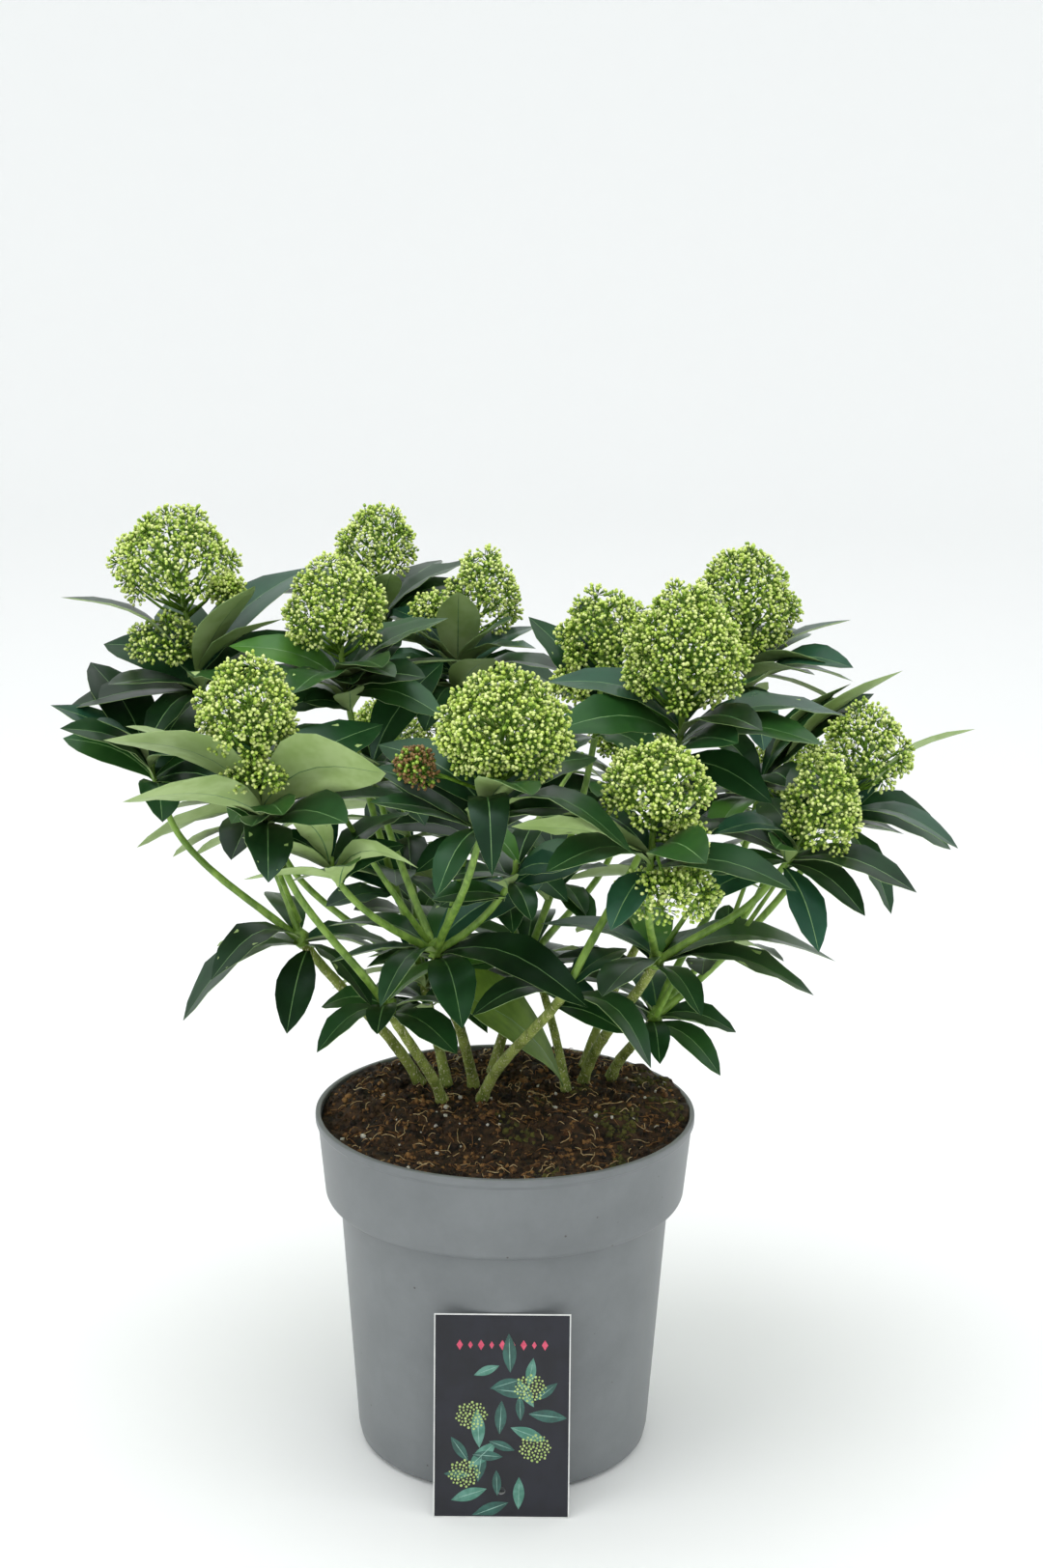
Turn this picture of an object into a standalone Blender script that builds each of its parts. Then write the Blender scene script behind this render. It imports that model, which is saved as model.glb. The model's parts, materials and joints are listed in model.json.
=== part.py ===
"""A potted skimmia: a low evergreen shrub with domed heads of flower buds, in its pot.

Metres, +Z up. The origin is the middle of the pot's flat underside, +X is the plant's
right and +Y its back. Ten stems rise from the compost. Most end in a fork, a ring of leaves
from which limbs rise, and each limb ends in a spray: a ring of leaves below a head of buds.
Every stem, fork, limb and spray is one solid, and neighbours stand 0.3 mm clear.
"""
import math
import random
from typing import NamedTuple

import bmesh
import bpy
import numpy as np
from mathutils.bvhtree import BVHTree

MM = 0.001
UP = (0.0, 0.0, 1.0)
CLEAR = 0.0003              # gap between neighbouring solids

# Pot: height and the outer radii of its wall, bottom to top.
POT_HEIGHT = 0.205
POT_BASE_RADIUS = 0.0805
POT_BODY_LOW = (0.0865, 0.010)      # radius and height where the body starts
POT_BODY_TOP = (0.0968, 0.154)      # and where it meets the collar's underside
COLLAR_UNDERSIDE = (0.1040, 0.1545)
COLLAR_LOW = (0.1053, 0.157)
COLLAR_TOP = (0.1095, 0.199)
RIM_RADIUS = 0.111
RIM_DEPTH = 0.0045
WALL = 0.0016
FLOOR = 0.0030
FOOT_STEP = (0.0850, 0.003)         # radius and height where the foot's bevel ends
POT_SEGMENTS = 28
DRAIN_COUNT = 6
DRAIN_RADIUS = 0.004
DRAIN_RING = 0.055
DRAIN_SEGMENTS = 8

# Compost: level by the rim, and raised to a flat mound where the stems stand.
SOIL_EDGE_HEIGHT = 0.197
GROUND = 0.2085
MOUND_CENTRE = (0.005, 0.026)
MOUND_HALF = (0.084, 0.056)
MOUND_FOOT = 1.5            # where the slope ends, in mound sizes
SOIL_RING_SHARES = (0.93, 0.78, 0.55)       # rings of points on it, as shares of its radius

# Plant label: a thin card that stands on the ground and leans on the pot.
LABEL_WIDTH = 0.077
LABEL_HEIGHT = 0.119
LABEL_THICK = 0.0007
LABEL_FOOT_Y = 0.1105       # from the pot's middle to the card's foot
LABEL_HOLE_RADIUS = 0.00225
LABEL_HOLE_HEIGHT = 0.016
LABEL_HOLE_SIDES = 12

# Stems and limbs.
STEM_RADIUS = 0.0043
STEM_TOP_RADIUS = 0.0036
THIN_STEM_SHARE = 0.85      # foot of a stem that is one limb, over that of the others
FLARE_RADIUS = 0.0060       # root flare at the cut
FLARE_HEIGHT = 0.012
LIMB_RADIUS = 0.0031
LIMB_TOP_RADIUS = 0.0024
STATIONS = 6                # rings along a limb
STEM_SIDES = 8
LIMB_SIDES = 6
CURVE_PULL = 0.9            # length of a curve's end tangents, over the distance it spans
START_LIFT = 0.5            # how much a stem's first way is turned up
STUB_LENGTH = 0.0155        # from a fork's middle to where its limbs start
STUB_SPREAD = 34.0          # least angle between two limbs of one fork, in degrees
SPREAD_ROUNDS = 60          # rounds in which they are turned apart
SPREAD_STEP = 0.3           # and the share of the missing angle that one round adds
FORK_RADIUS = 0.0062
NECK = 0.027                # from the end of a limb to the ring of leaves above it
BARE_TOP = 0.006            # how far a shoot without a head rises above its leaves
LONG_SHOOT_SHARE = 1.05     # radius of a spray's stem that starts at its fork, over a limb's top
SHOOT_SIDES = 5
HEAD_STALK_RADIUS = 0.0019
LOBE_STALK_RADIUS = 0.0012
LOBE_STALK_SIDES = 4
LOBE_JOINT_SHARE = 0.25     # where a side head's stalk leaves, on the way to the middle head
WELD = 2e-6                 # corners nearer than this are one

# Leaves.
LEAF_STATIONS = (0.0, 0.33, 0.70, 1.0)
LEAF_WIDTH_RATIO = (0.29, 0.37)     # widest place over length
LEAF_THICKNESS_RATIO = 0.012
LEAF_ROOT_HALF = 0.0013
LEAF_FOLD = 0.14            # how far the edges lift, over the half width
LEAF_ROOT_FACES = 4         # faces of the span next to the stem
RING_DEPTH = 0.012          # height over which one ring of leaves is spread
LEAF_MARGIN = 0.0005        # free space kept round a leaf

# Heads of buds.
HEAD_VALLEY = 0.80          # depth between bud clusters, as a share of the head's size
HEAD_PEAK = (0.93, 1.0)     # where the clusters' tops lie

# Each stem: foot on the compost (x, y) and the fork it leads to, or None where it is one
# limb all the way up to its spray.
STEMS = {
    "stem_left": ((-0.051, 0.029), "fork_left"),
    "stem_left_low": ((-0.037, 0.001), "fork_left_low"),
    "stem_left_back": ((-0.035, 0.026), "fork_left_back"),
    "stem_centre": ((-0.019, 0.026), "fork_centre"),
    "stem_front": ((-0.014, 0.003), "fork_front"),
    "stem_back": ((-0.008, 0.048), "fork_back"),
    "stem_back_thin": ((0.036, 0.019), None),
    "stem_right": ((0.046, 0.034), "fork_right"),
    "stem_right_thin": ((0.047, 0.061), None),
    "stem_right_low": ((0.063, 0.043), "fork_right_low"),
}


class Fork(NamedTuple):
    """A ring of leaves where a stem divides."""
    place: tuple
    leaves: int
    length: float           # usual leaf length, mm
    aims: tuple             # leaves that stand out: bearing, rise (degrees), length, arch (%)


class Spray(NamedTuple):
    """A ring of leaves at a limb's end, with any heads of buds above it."""
    carrier: str            # fork or stem that it grows from
    has_limb: bool          # False where its own stem runs down to the fork
    place: tuple
    leaves: int
    length: float
    heads: tuple            # x, y, z from the ring, width, height, all in mm
    aims: tuple


FORKS = {
    "fork_left": Fork((-0.117, -0.020, 0.313), 7, 62, (
        (-155, -25, 82, 22), (-100, -35, 60, 10), (-45, -22, 62, 14), (-135, -8, 66, 24),
        (110, 10, 60, 12))),
    "fork_left_low": Fork((-0.066, -0.050, 0.283), 6, 50, (
        (-140, -8, 52, 18), (-46, -10, 56, 12), (-95, -4, 40, 12), (15, 15, 55, 10))),
    "fork_left_back": Fork((-0.050, 0.062, 0.262), 6, 60, (
        (165, 5, 62, 14), (100, 10, 64, 14))),
    "fork_centre": Fork((-0.039, -0.060, 0.320), 7, 66, (
        (-30, -8, 98, 16), (-120, -12, 60, 26), (30, 22, 76, 10), (150, 2, 72, 14),
        (-75, -20, 62, 20))),
    "fork_front": Fork((0.033, -0.090, 0.307), 5, 54, (
        (-30, -28, 64, 26), (-165, 12, 58, 12), (50, 12, 52, 10))),
    "fork_back": Fork((0.011, 0.052, 0.275), 7, 68, (
        (10, -5, 70, 12), (75, 8, 72, 14), (160, 0, 66, 12))),
    "fork_right": Fork((0.083, -0.070, 0.318), 7, 70, (
        (-14, 3, 90, 16), (10, -10, 105, 14), (172, 24, 78, 12), (-60, -14, 52, 20))),
    "fork_right_low": Fork((0.086, -0.010, 0.265), 6, 52, (
        (-12, -6, 48, 16), (-32, -26, 52, 16), (-85, -18, 40, 18), (95, 20, 58, 12))),
}

SPRAYS = {
    "spray_far_left": Spray("fork_left", True, (-0.201, -0.010, 0.408), 7, 62, (), (
        (178, 34, 68, 12), (-125, 40, 54, 12), (128, 38, 82, 12), (-80, -6, 58, 14))),
    "spray_left_high": Spray("fork_left", True, (-0.176, 0.020, 0.454), 9, 78, (
        (-14, 5, 71, 76, 56), (-20, -6, 26, 44, 34), (16, -4, 54, 24, 22)), (
        (168, 28, 98, 12), (-42, 50, 76, 8), (42, 34, 98, 12), (-165, -4, 78, 14),
        (-118, -18, 62, 18), (-72, 16, 70, 14))),
    "spray_left_front": Spray("fork_left_low", True, (-0.128, -0.120, 0.415), 9, 84, (
        (-8, 0, 58, 64, 58), (-2, -10, 25, 38, 24)), (
        (-32, 34, 84, 18), (-158, 36, 94, 14), (-140, 14, 90, 10), (150, 30, 96, 12),
        (45, 22, 92, 12), (-85, -14, 60, 18))),
    "spray_left_middle": Spray("fork_left_back", True, (-0.091, -0.020, 0.463), 8, 68, (
        (-5, 0, 45, 64, 62),), (
        (-112, 10, 68, 16), (-68, 12, 68, 14), (-30, -4, 64, 14), (178, 18, 68, 12),
        (120, 22, 76, 12))),
    "spray_left_back": Spray("fork_left_back", True, (-0.075, 0.105, 0.474), 7, 70, (
        (-5, 14, 46, 52, 50),), (
        (132, -6, 70, 14), (-80, 40, 48, 10), (62, 22, 74, 12))),
    "spray_centre_back": Spray("fork_back", True, (-0.030, 0.055, 0.450), 9, 72, (
        (14, 32, 46, 50, 56), (-16, 6, 40, 26, 34)), (
        (-150, 52, 72, 8), (-100, 70, 72, 8), (-48, 50, 64, 10), (-14, 6, 76, 16),
        (-105, -8, 66, 16), (-145, -8, 60, 14), (42, 22, 66, 12))),
    "spray_centre_front": Spray("fork_centre", True, (-0.011, -0.140, 0.420), 9, 74, (
        (9, 0, 50, 84, 68), (-36, -4, 28, 24, 24)), (
        (-84, -12, 56, 50), (-160, 36, 74, 10), (-24, -4, 84, 26), (150, 22, 72, 12),
        (40, 14, 80, 14), (-120, -30, 52, 16))),
    "spray_centre_right": Spray("fork_back", True, (0.051, 0.025, 0.429), 8, 72, (
        (4, -4, 58, 56, 54), (-16, -14, 28, 26, 22)), (
        (-116, 38, 74, 12), (140, 46, 76, 12), (96, 48, 82, 12), (-130, -12, 56, 14),
        (-50, -6, 56, 14))),
    "spray_right_tall": Spray("fork_front", True, (0.095, -0.055, 0.445), 8, 76, (
        (1, -3, 50, 74, 78),), (
        (-150, 10, 82, 14), (-22, -14, 92, 14), (6, 8, 95, 12), (-52, 14, 68, 16),
        (122, 18, 66, 12))),
    "spray_right_back": Spray("stem_right_thin", True, (0.141, 0.075, 0.450), 8, 66, (
        (0, 6, 48, 66, 70),), (
        (16, -2, 68, 14), (-82, -26, 60, 14), (-40, 14, 56, 12), (58, 16, 76, 12))),
    "spray_right_front": Spray("fork_right", True, (0.076, -0.135, 0.395), 8, 70, (
        (3, 0, 45, 64, 52), (18, -4, 14, 26, 18), (9, -6, -13, 46, 20)), (
        (-172, 22, 76, 14), (-136, 8, 78, 18), (-14, -4, 78, 14), (-118, -32, 50, 12),
        (52, 8, 64, 12), (130, 16, 56, 12))),
    "spray_right_low": Spray("fork_right", True, (0.155, -0.085, 0.384), 7, 62, (
        (16, 0, 33, 52, 64),), (
        (-64, -44, 54, 12), (-155, 24, 56, 26), (-14, 8, 82, 14), (104, 16, 58, 12),
        (-36, -22, 54, 14))),
    "spray_far_right": Spray("fork_right_low", True, (0.191, -0.002, 0.388), 8, 74, (
        (16, 2, 38, 64, 56),), (
        (14, 27, 88, 10), (-26, -8, 72, 16), (14, -18, 74, 18), (-40, -50, 62, 12),
        (40, 50, 72, 10))),
    "spray_right_inner": Spray("fork_right_low", True, (0.146, 0.030, 0.392), 7, 66, (), (
        (0, 52, 66, 10), (10, 38, 84, 10), (-118, -6, 60, 14), (-74, 16, 58, 14))),
    "spray_small_left": Spray("fork_centre", False, (-0.093, -0.112, 0.383), 6, 50, (), (
        (-150, 48, 52, 12), (-26, 12, 52, 24), (-170, 20, 58, 12), (-148, 8, 56, 12),
        (45, 20, 60, 12))),
    "spray_centre_left": Spray("fork_centre", False, (-0.076, 0.000, 0.408), 8, 66, (), (
        (35, 48, 72, 10), (175, 8, 74, 14), (-10, 6, 66, 14), (-150, -6, 62, 12),
        (-60, -10, 60, 14))),
    "spray_small_centre": Spray("fork_centre", False, (0.005, -0.080, 0.373), 5, 46, (), (
        (0, 10, 50, 14), (135, 26, 40, 10), (-70, -20, 36, 12))),
    "spray_inner": Spray("stem_back_thin", True, (-0.002, 0.160, 0.355), 8, 76, (
        (2, 6, 46, 58, 54),), ()),
    "spray_back_left": Spray("fork_left_back", True, (-0.150, 0.120, 0.350), 8, 76, (
        (-6, 8, 44, 58, 54),), ()),
    "spray_back_middle": Spray("fork_left_back", True, (-0.075, 0.185, 0.345), 8, 74, (
        (0, 8, 44, 56, 52),), ()),
    "spray_back_right": Spray("fork_back", True, (0.075, 0.165, 0.350), 8, 76, (
        (2, 6, 45, 60, 56),), ()),
    "spray_back_far": Spray("fork_right_low", True, (0.168, 0.118, 0.343), 8, 72, (
        (4, 6, 43, 56, 52),), ()),
}


def unit(vector):
    """The vector at length one."""
    vector = np.asarray(vector, float)
    return vector / np.linalg.norm(vector)


def mix(start, end, share):
    """The value that lies this share of the way from start to end."""
    return start + (end - start) * share


def linear_colour(hex_code):
    """An sRGB hex colour as linear RGBA."""
    channels = [int(hex_code[i:i + 2], 16) / 255.0 for i in (0, 2, 4)]
    return [c / 12.92 if c <= 0.04045 else ((c + 0.055) / 1.055) ** 2.4 for c in channels] + [1.0]


def material(name, hex_code, roughness):
    """A Principled material, kept for every piece that shares it."""
    found = bpy.data.materials.get(name)
    if found:
        return found
    made = bpy.data.materials.new(name)
    made.use_nodes = True
    shader = made.node_tree.nodes["Principled BSDF"]
    shader.inputs["Base Color"].default_value = linear_colour(hex_code)
    shader.inputs["Roughness"].default_value = roughness
    shader.inputs["Metallic"].default_value = 0.0
    return made


def make_object(name, vertices, faces, finish=None, smooth_angle=None):
    """A closed mesh object with its faces turned outward."""
    mesh = bpy.data.meshes.new(name)
    mesh.from_pydata([tuple(v) for v in vertices], [], [tuple(f) for f in faces])
    shape = bmesh.new()
    shape.from_mesh(mesh)
    bmesh.ops.recalc_face_normals(shape, faces=shape.faces)
    shape.to_mesh(mesh)
    shape.free()
    if smooth_angle:
        mesh.shade_smooth()
        mesh.set_sharp_from_angle(angle=math.radians(smooth_angle))
    made = bpy.data.objects.new(name, mesh)
    if finish:
        mesh.materials.append(finish)
    bpy.context.scene.collection.objects.link(made)
    return made


def turned(profile, segments):
    """Vertices and faces of a (radius, height) profile turned about +Z, poles at both ends."""
    angles = np.arange(segments) * 2 * math.pi / segments
    ring_cos, ring_sin = np.cos(angles), np.sin(angles)
    vertices = [(0.0, 0.0, profile[0][1])]
    for radius, height in profile[1:-1]:
        vertices += [(radius * c, radius * s, height) for c, s in zip(ring_cos, ring_sin)]
    vertices.append((0.0, 0.0, profile[-1][1]))
    rings = len(profile) - 2
    last = len(vertices) - 1
    faces = []
    for i in range(segments):
        j = (i + 1) % segments
        faces.append((0, 1 + j, 1 + i))
        for ring in range(rings - 1):
            low = 1 + ring * segments
            high = low + segments
            faces.append((low + i, low + j, high + j, high + i))
        top = 1 + (rings - 1) * segments
        faces.append((top + i, top + j, last))
    return vertices, faces


def pot_outer_radius(height):
    """Radius of the pot's outer wall at a height, below the rim."""
    radii = (POT_BODY_LOW[0], POT_BODY_TOP[0], COLLAR_LOW[0], COLLAR_TOP[0])
    heights = (POT_BODY_LOW[1], POT_BODY_TOP[1], COLLAR_LOW[1], COLLAR_TOP[1])
    return float(np.interp(height, heights, radii))


def make_pot():
    """A thin-walled pot with a wide collar, a rim and drain holes."""
    outer = [(0.0, 0.0), (POT_BASE_RADIUS, 0.0), FOOT_STEP, POT_BODY_LOW, POT_BODY_TOP,
             COLLAR_UNDERSIDE, COLLAR_LOW, COLLAR_TOP, (RIM_RADIUS, POT_HEIGHT - RIM_DEPTH),
             (RIM_RADIUS, POT_HEIGHT)]
    ledge = POT_BODY_TOP[1] + WALL
    inner = [(COLLAR_TOP[0] - WALL, POT_HEIGHT), (COLLAR_TOP[0] - WALL, COLLAR_TOP[1]),
             (COLLAR_LOW[0] - WALL, COLLAR_LOW[1] + WALL), (POT_BODY_TOP[0] - WALL, ledge),
             (POT_BODY_LOW[0] - WALL, POT_BODY_LOW[1]), (POT_BASE_RADIUS, FLOOR), (0.0, FLOOR)]
    vertices, faces = turned(outer + inner, POT_SEGMENTS)
    pot = make_object("pot", vertices, faces, material("grey_polypropylene", "7b8084", 0.45), 30)
    drill_vertices = []
    drill_faces = []
    for i in range(DRAIN_COUNT):
        angle = (i + 0.5) * 2 * math.pi / DRAIN_COUNT
        profile = [(0.0, -FLOOR), (DRAIN_RADIUS, -FLOOR), (DRAIN_RADIUS, 2 * FLOOR), (0.0, 2 * FLOOR)]
        hole_vertices, hole_faces = turned(profile, DRAIN_SEGMENTS)
        offset = len(drill_vertices)
        shift = (DRAIN_RING * math.cos(angle), DRAIN_RING * math.sin(angle))
        drill_vertices += [(x + shift[0], y + shift[1], z) for x, y, z in hole_vertices]
        drill_faces += [tuple(v + offset for v in face) for face in hole_faces]
    drill = make_object("pot_drain_cutter", drill_vertices, drill_faces)
    cut_with(pot, drill)


def cut_with(piece, cutter):
    """Take the cutter's shape out of the piece."""
    cutter.hide_render = True
    cutter.display_type = "WIRE"
    cut = piece.modifiers.new("cut", "BOOLEAN")
    cut.operation = "DIFFERENCE"
    cut.object = cutter


def soil_height(x, y):
    """Height of the compost: a flat mound that slopes down to a level edge."""
    reach = math.hypot((x - MOUND_CENTRE[0]) / MOUND_HALF[0], (y - MOUND_CENTRE[1]) / MOUND_HALF[1])
    share = min(max((reach - 1.0) / (MOUND_FOOT - 1.0), 0.0), 1.0)
    share = share * share * (3.0 - 2.0 * share)
    return mix(GROUND, SOIL_EDGE_HEIGHT, share)


def make_soil():
    """The plug of compost that fills the pot, 0.3 mm clear of its wall and floor."""
    inset = WALL + CLEAR
    edge_radius = pot_outer_radius(SOIL_EDGE_HEIGHT) - inset
    low = [(0.0, FLOOR + CLEAR), (POT_BASE_RADIUS - CLEAR, FLOOR + CLEAR),
           (POT_BODY_LOW[0] - inset, POT_BODY_LOW[1]),
           (POT_BODY_TOP[0] - inset, POT_BODY_TOP[1] + WALL + CLEAR),
           (COLLAR_LOW[0] - inset, COLLAR_LOW[1] + WALL + CLEAR), (edge_radius, SOIL_EDGE_HEIGHT)]
    top = [(edge_radius * share, GROUND) for share in SOIL_RING_SHARES]
    vertices, faces = turned(low + top + [(0.0, GROUND)], POT_SEGMENTS)
    top_start = 1 + (len(low) - 1) * POT_SEGMENTS
    vertices = vertices[:top_start] + [(x, y, soil_height(x, y)) for x, y, _ in vertices[top_start:]]
    make_object("soil", vertices, faces, material("moist_peat_compost", "33251c", 0.95), 40)


def make_label():
    """The card: upright, with a hole near its foot, tilted back onto the pot's wall."""
    wall_radius = pot_outer_radius(LABEL_HEIGHT)
    lean = math.asin((LABEL_FOOT_Y - wall_radius - CLEAR) / LABEL_HEIGHT)
    lift = LABEL_THICK * math.sin(lean)

    def place(x, up, back):
        y = -LABEL_FOOT_Y + up * math.sin(lean) + back * math.cos(lean)
        return (x, y, lift + up * math.cos(lean) - back * math.sin(lean))

    half = LABEL_WIDTH / 2
    corners = [(-half, 0.0), (half, 0.0), (half, LABEL_HEIGHT), (-half, LABEL_HEIGHT)]
    vertices = [place(x, up, -LABEL_THICK) for x, up in corners] + [place(x, up, 0.0) for x, up in corners]
    faces = [(0, 1, 2, 3), (7, 6, 5, 4)] + [(i, i + 4, (i + 1) % 4 + 4, (i + 1) % 4) for i in range(4)]
    label = make_object("plant_label", vertices, faces, material("coated_card", "2a2b3a", 0.35))
    sides = LABEL_HOLE_SIDES
    angles = [i * 2 * math.pi / sides for i in range(sides)]
    ring = [(LABEL_HOLE_RADIUS * math.cos(a), LABEL_HOLE_HEIGHT + LABEL_HOLE_RADIUS * math.sin(a))
            for a in angles]
    depth = 4 * LABEL_THICK
    punch_vertices = [place(x, up, -depth) for x, up in ring] + [place(x, up, depth) for x, up in ring]
    punch_faces = [tuple(range(sides)), tuple(range(2 * sides - 1, sides - 1, -1))]
    punch_faces += [(i, i + sides, (i + 1) % sides + sides, (i + 1) % sides) for i in range(sides)]
    cut_with(label, make_object("label_hole_cutter", punch_vertices, punch_faces))


def smooth_path(start, start_way, end, end_way, count):
    """Points on one smooth curve that leaves start and reaches end along the given ways."""
    start, end = np.asarray(start, float), np.asarray(end, float)
    pull = CURVE_PULL * np.linalg.norm(end - start)
    t = np.linspace(0.0, 1.0, count)[:, None]
    return ((2 * t**3 - 3 * t**2 + 1) * start + (t**3 - 2 * t**2 + t) * pull * unit(start_way)
            + (3 * t**2 - 2 * t**3) * end + (t**3 - t**2) * pull * unit(end_way))


def tube(path, radii, sides, start_way=None, end_way=None):
    """Vertices and faces of a closed round bar along a path, its ends cut across the given ways."""
    path = np.asarray(path, float)
    ways = np.gradient(path, axis=0)
    ways /= np.linalg.norm(ways, axis=1)[:, None]
    if start_way is not None:
        ways[0] = start_way
    if end_way is not None:
        ways[-1] = end_way
    side = unit(np.cross(ways[0], (0.31, 0.95, 0.05)))
    angles = np.arange(sides) * 2 * math.pi / sides
    vertices = []
    for point, way, radius in zip(path, ways, radii):
        side = unit(side - way * np.dot(side, way))
        other = np.cross(way, side)
        vertices += [point + radius * (math.cos(a) * side + math.sin(a) * other) for a in angles]
    faces = [tuple(range(sides - 1, -1, -1))]
    for ring in range(len(path) - 1):
        low = ring * sides
        faces += [(low + i, low + (i + 1) % sides, low + sides + (i + 1) % sides, low + sides + i)
                  for i in range(sides)]
    faces.append(tuple(range(len(vertices) - sides, len(vertices))))
    return vertices, faces


def leaf(base, bearing, rise, length, half_width, arch, twist, grow=0.0):
    """Vertices and faces of a closed blade, pointed at its tip.

    Its middle line rises from the base in the upright plane of its bearing, bows up by the
    arch and comes down to the tip. Across, it is a shallow trough: two edges above one keel.
    """
    base = np.asarray(base, float)
    b, r = math.radians(bearing), math.radians(rise)
    way = np.array((math.cos(b) * math.cos(r), math.sin(b) * math.cos(r), math.sin(r)))
    flat_side = np.array((-math.sin(b), math.cos(b), 0.0))
    upward = np.cross(way, flat_side)
    side = math.cos(twist) * flat_side + math.sin(twist) * upward
    face_up = np.cross(way, side)
    thick = LEAF_THICKNESS_RATIO * length + grow
    vertices = []
    for t in LEAF_STATIONS[:-1]:
        spread = max(math.sin(math.pi * t ** 0.92) ** 0.85 * half_width, LEAF_ROOT_HALF) + grow
        middle = base + length * (t * way + arch * math.sin(math.pi * t ** 0.85) * upward)
        lift = LEAF_FOLD * spread * face_up
        vertices += [middle - spread * side + lift + grow * face_up,
                     middle + spread * side + lift + grow * face_up, middle - thick * face_up]
    vertices.append(base + (length + grow) * way)
    faces = [(0, 1, 2)]
    for ring in range(len(LEAF_STATIONS) - 2):
        low = 3 * ring
        faces += [(low + i, low + 3 + i, low + 3 + (i + 1) % 3, low + (i + 1) % 3) for i in range(3)]
    last = 3 * (len(LEAF_STATIONS) - 2)
    faces += [(last + i, last + 3, last + (i + 1) % 3) for i in range(3)]
    return vertices, faces


def bud_head(centre, width, height, fineness, rng):
    """An oval ball with a peak on every face: each peak is a cluster of buds."""
    shape = bmesh.new()
    bmesh.ops.create_icosphere(shape, subdivisions=fineness, radius=1.0)
    rays = [np.array(vertex.co) * HEAD_VALLEY for vertex in shape.verts]
    faces = []
    for face in shape.faces:
        corners = [vertex.index for vertex in face.verts]
        rays.append(unit(face.calc_center_median()) * rng.uniform(*HEAD_PEAK))
        faces += [(corners[i], corners[(i + 1) % 3], len(rays) - 1) for i in range(3)]
    shape.free()
    half = np.array((width, width, height)) / 2
    return [np.asarray(centre) + ray * half for ray in rays], faces


def spread_ways(ways, least_angle):
    """Turn the directions apart until every two differ by the least angle."""
    ways = [unit(way) for way in ways]
    for _ in range(SPREAD_ROUNDS):
        for i in range(len(ways)):
            for j in range(i):
                angle = math.degrees(math.acos(float(np.clip(np.dot(ways[i], ways[j]), -1, 1))))
                if angle < least_angle:
                    apart = unit(ways[i] - ways[j] + np.array((1e-6, 0, 0)))
                    push = SPREAD_STEP * math.radians(least_angle - angle)
                    ways[i] = unit(ways[i] + push * apart)
                    ways[j] = unit(ways[j] - push * apart)
    return ways


class Route(NamedTuple):
    """Where a spray's limb starts and ends, and the way it runs there."""
    start: np.ndarray
    start_way: np.ndarray
    end: np.ndarray
    end_way: np.ndarray


def spray_top(spray):
    """The end of the spray's own stem: the middle of its first head, or just above its leaves."""
    if spray.heads:
        return np.array(spray.place) + MM * np.array(spray.heads[0][:3])
    return np.array(spray.place) + np.array((0.0, 0.0, BARE_TOP))


def plan_routes():
    """The limb's route for each spray: its fork's directions are spread apart first."""
    routes = {}
    origins = {name: np.array(fork.place) for name, fork in FORKS.items()}
    for name, (foot, fork) in STEMS.items():
        if fork is None:
            origins[name] = np.array((foot[0], foot[1], GROUND + CLEAR))
    for carrier, origin in origins.items():
        carried = [name for name, spray in SPRAYS.items() if spray.carrier == carrier]
        ends = {}
        for name in carried:
            place = np.array(SPRAYS[name].place)
            end_way = unit(unit(place - origin) + unit(spray_top(SPRAYS[name]) - place))
            ends[name] = (place - NECK * end_way, end_way)
        ways = spread_ways([ends[name][0] - origin for name in carried], STUB_SPREAD)
        for name, way in zip(carried, ways):
            start = origin + STUB_LENGTH * way if carrier in FORKS else origin
            routes[name] = Route(start, way, *ends[name])
    return routes


def stem_path(foot, end, end_way):
    """A stem's middle line: it leaves the ground steeply, then leans to its end."""
    start = np.array((foot[0], foot[1], GROUND + CLEAR))
    lean = unit(np.asarray(end) - start)
    path = smooth_path(start, unit(lean + START_LIFT * np.array(UP)), end, end_way, STATIONS)
    flare_top = start + (path[1] - start) * FLARE_HEIGHT / np.linalg.norm(path[1] - start)
    return np.vstack((path[:1], flare_top[None], path[1:]))


def stem_radii(path, low, high):
    """Radii along a stem: the root flare, then an even taper."""
    run = np.linalg.norm(np.diff(path, axis=0), axis=1).cumsum()
    taper = low + (high - low) * np.concatenate(([0.0], run)) / run[-1]
    taper[0] = FLARE_RADIUS * low / STEM_RADIUS
    return taper


class Obstacles:
    """The space that is already taken, as search trees with their owners."""

    def __init__(self):
        self.trees = []

    def add(self, owner, kind, vertices, faces):
        tree = BVHTree.FromPolygons([tuple(v) for v in vertices], [tuple(f) for f in faces])
        self.trees.append((owner, kind, tree))

    def blocks(self, owner, vertices, faces):
        """True where a leaf meets another node, or where its outer part meets its own node."""
        points = [tuple(v) for v in vertices]
        whole = BVHTree.FromPolygons(points, [tuple(f) for f in faces])
        outer = BVHTree.FromPolygons(points, [tuple(f) for f in faces[LEAF_ROOT_FACES:]])
        for other, kind, tree in self.trees:
            if other != owner:
                if whole.overlap(tree):
                    return True
            elif kind != "stalk" and outer.overlap(tree):
                return True
        return False


def widest_gap_middle(bearings):
    """The bearing in the middle of the widest free sector."""
    ordered = sorted(bearing % 360 for bearing in bearings)
    following = ordered[1:] + [ordered[0] + 360]
    gap, start = max((after - before, before) for before, after in zip(ordered, following))
    return start + gap / 2


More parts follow.
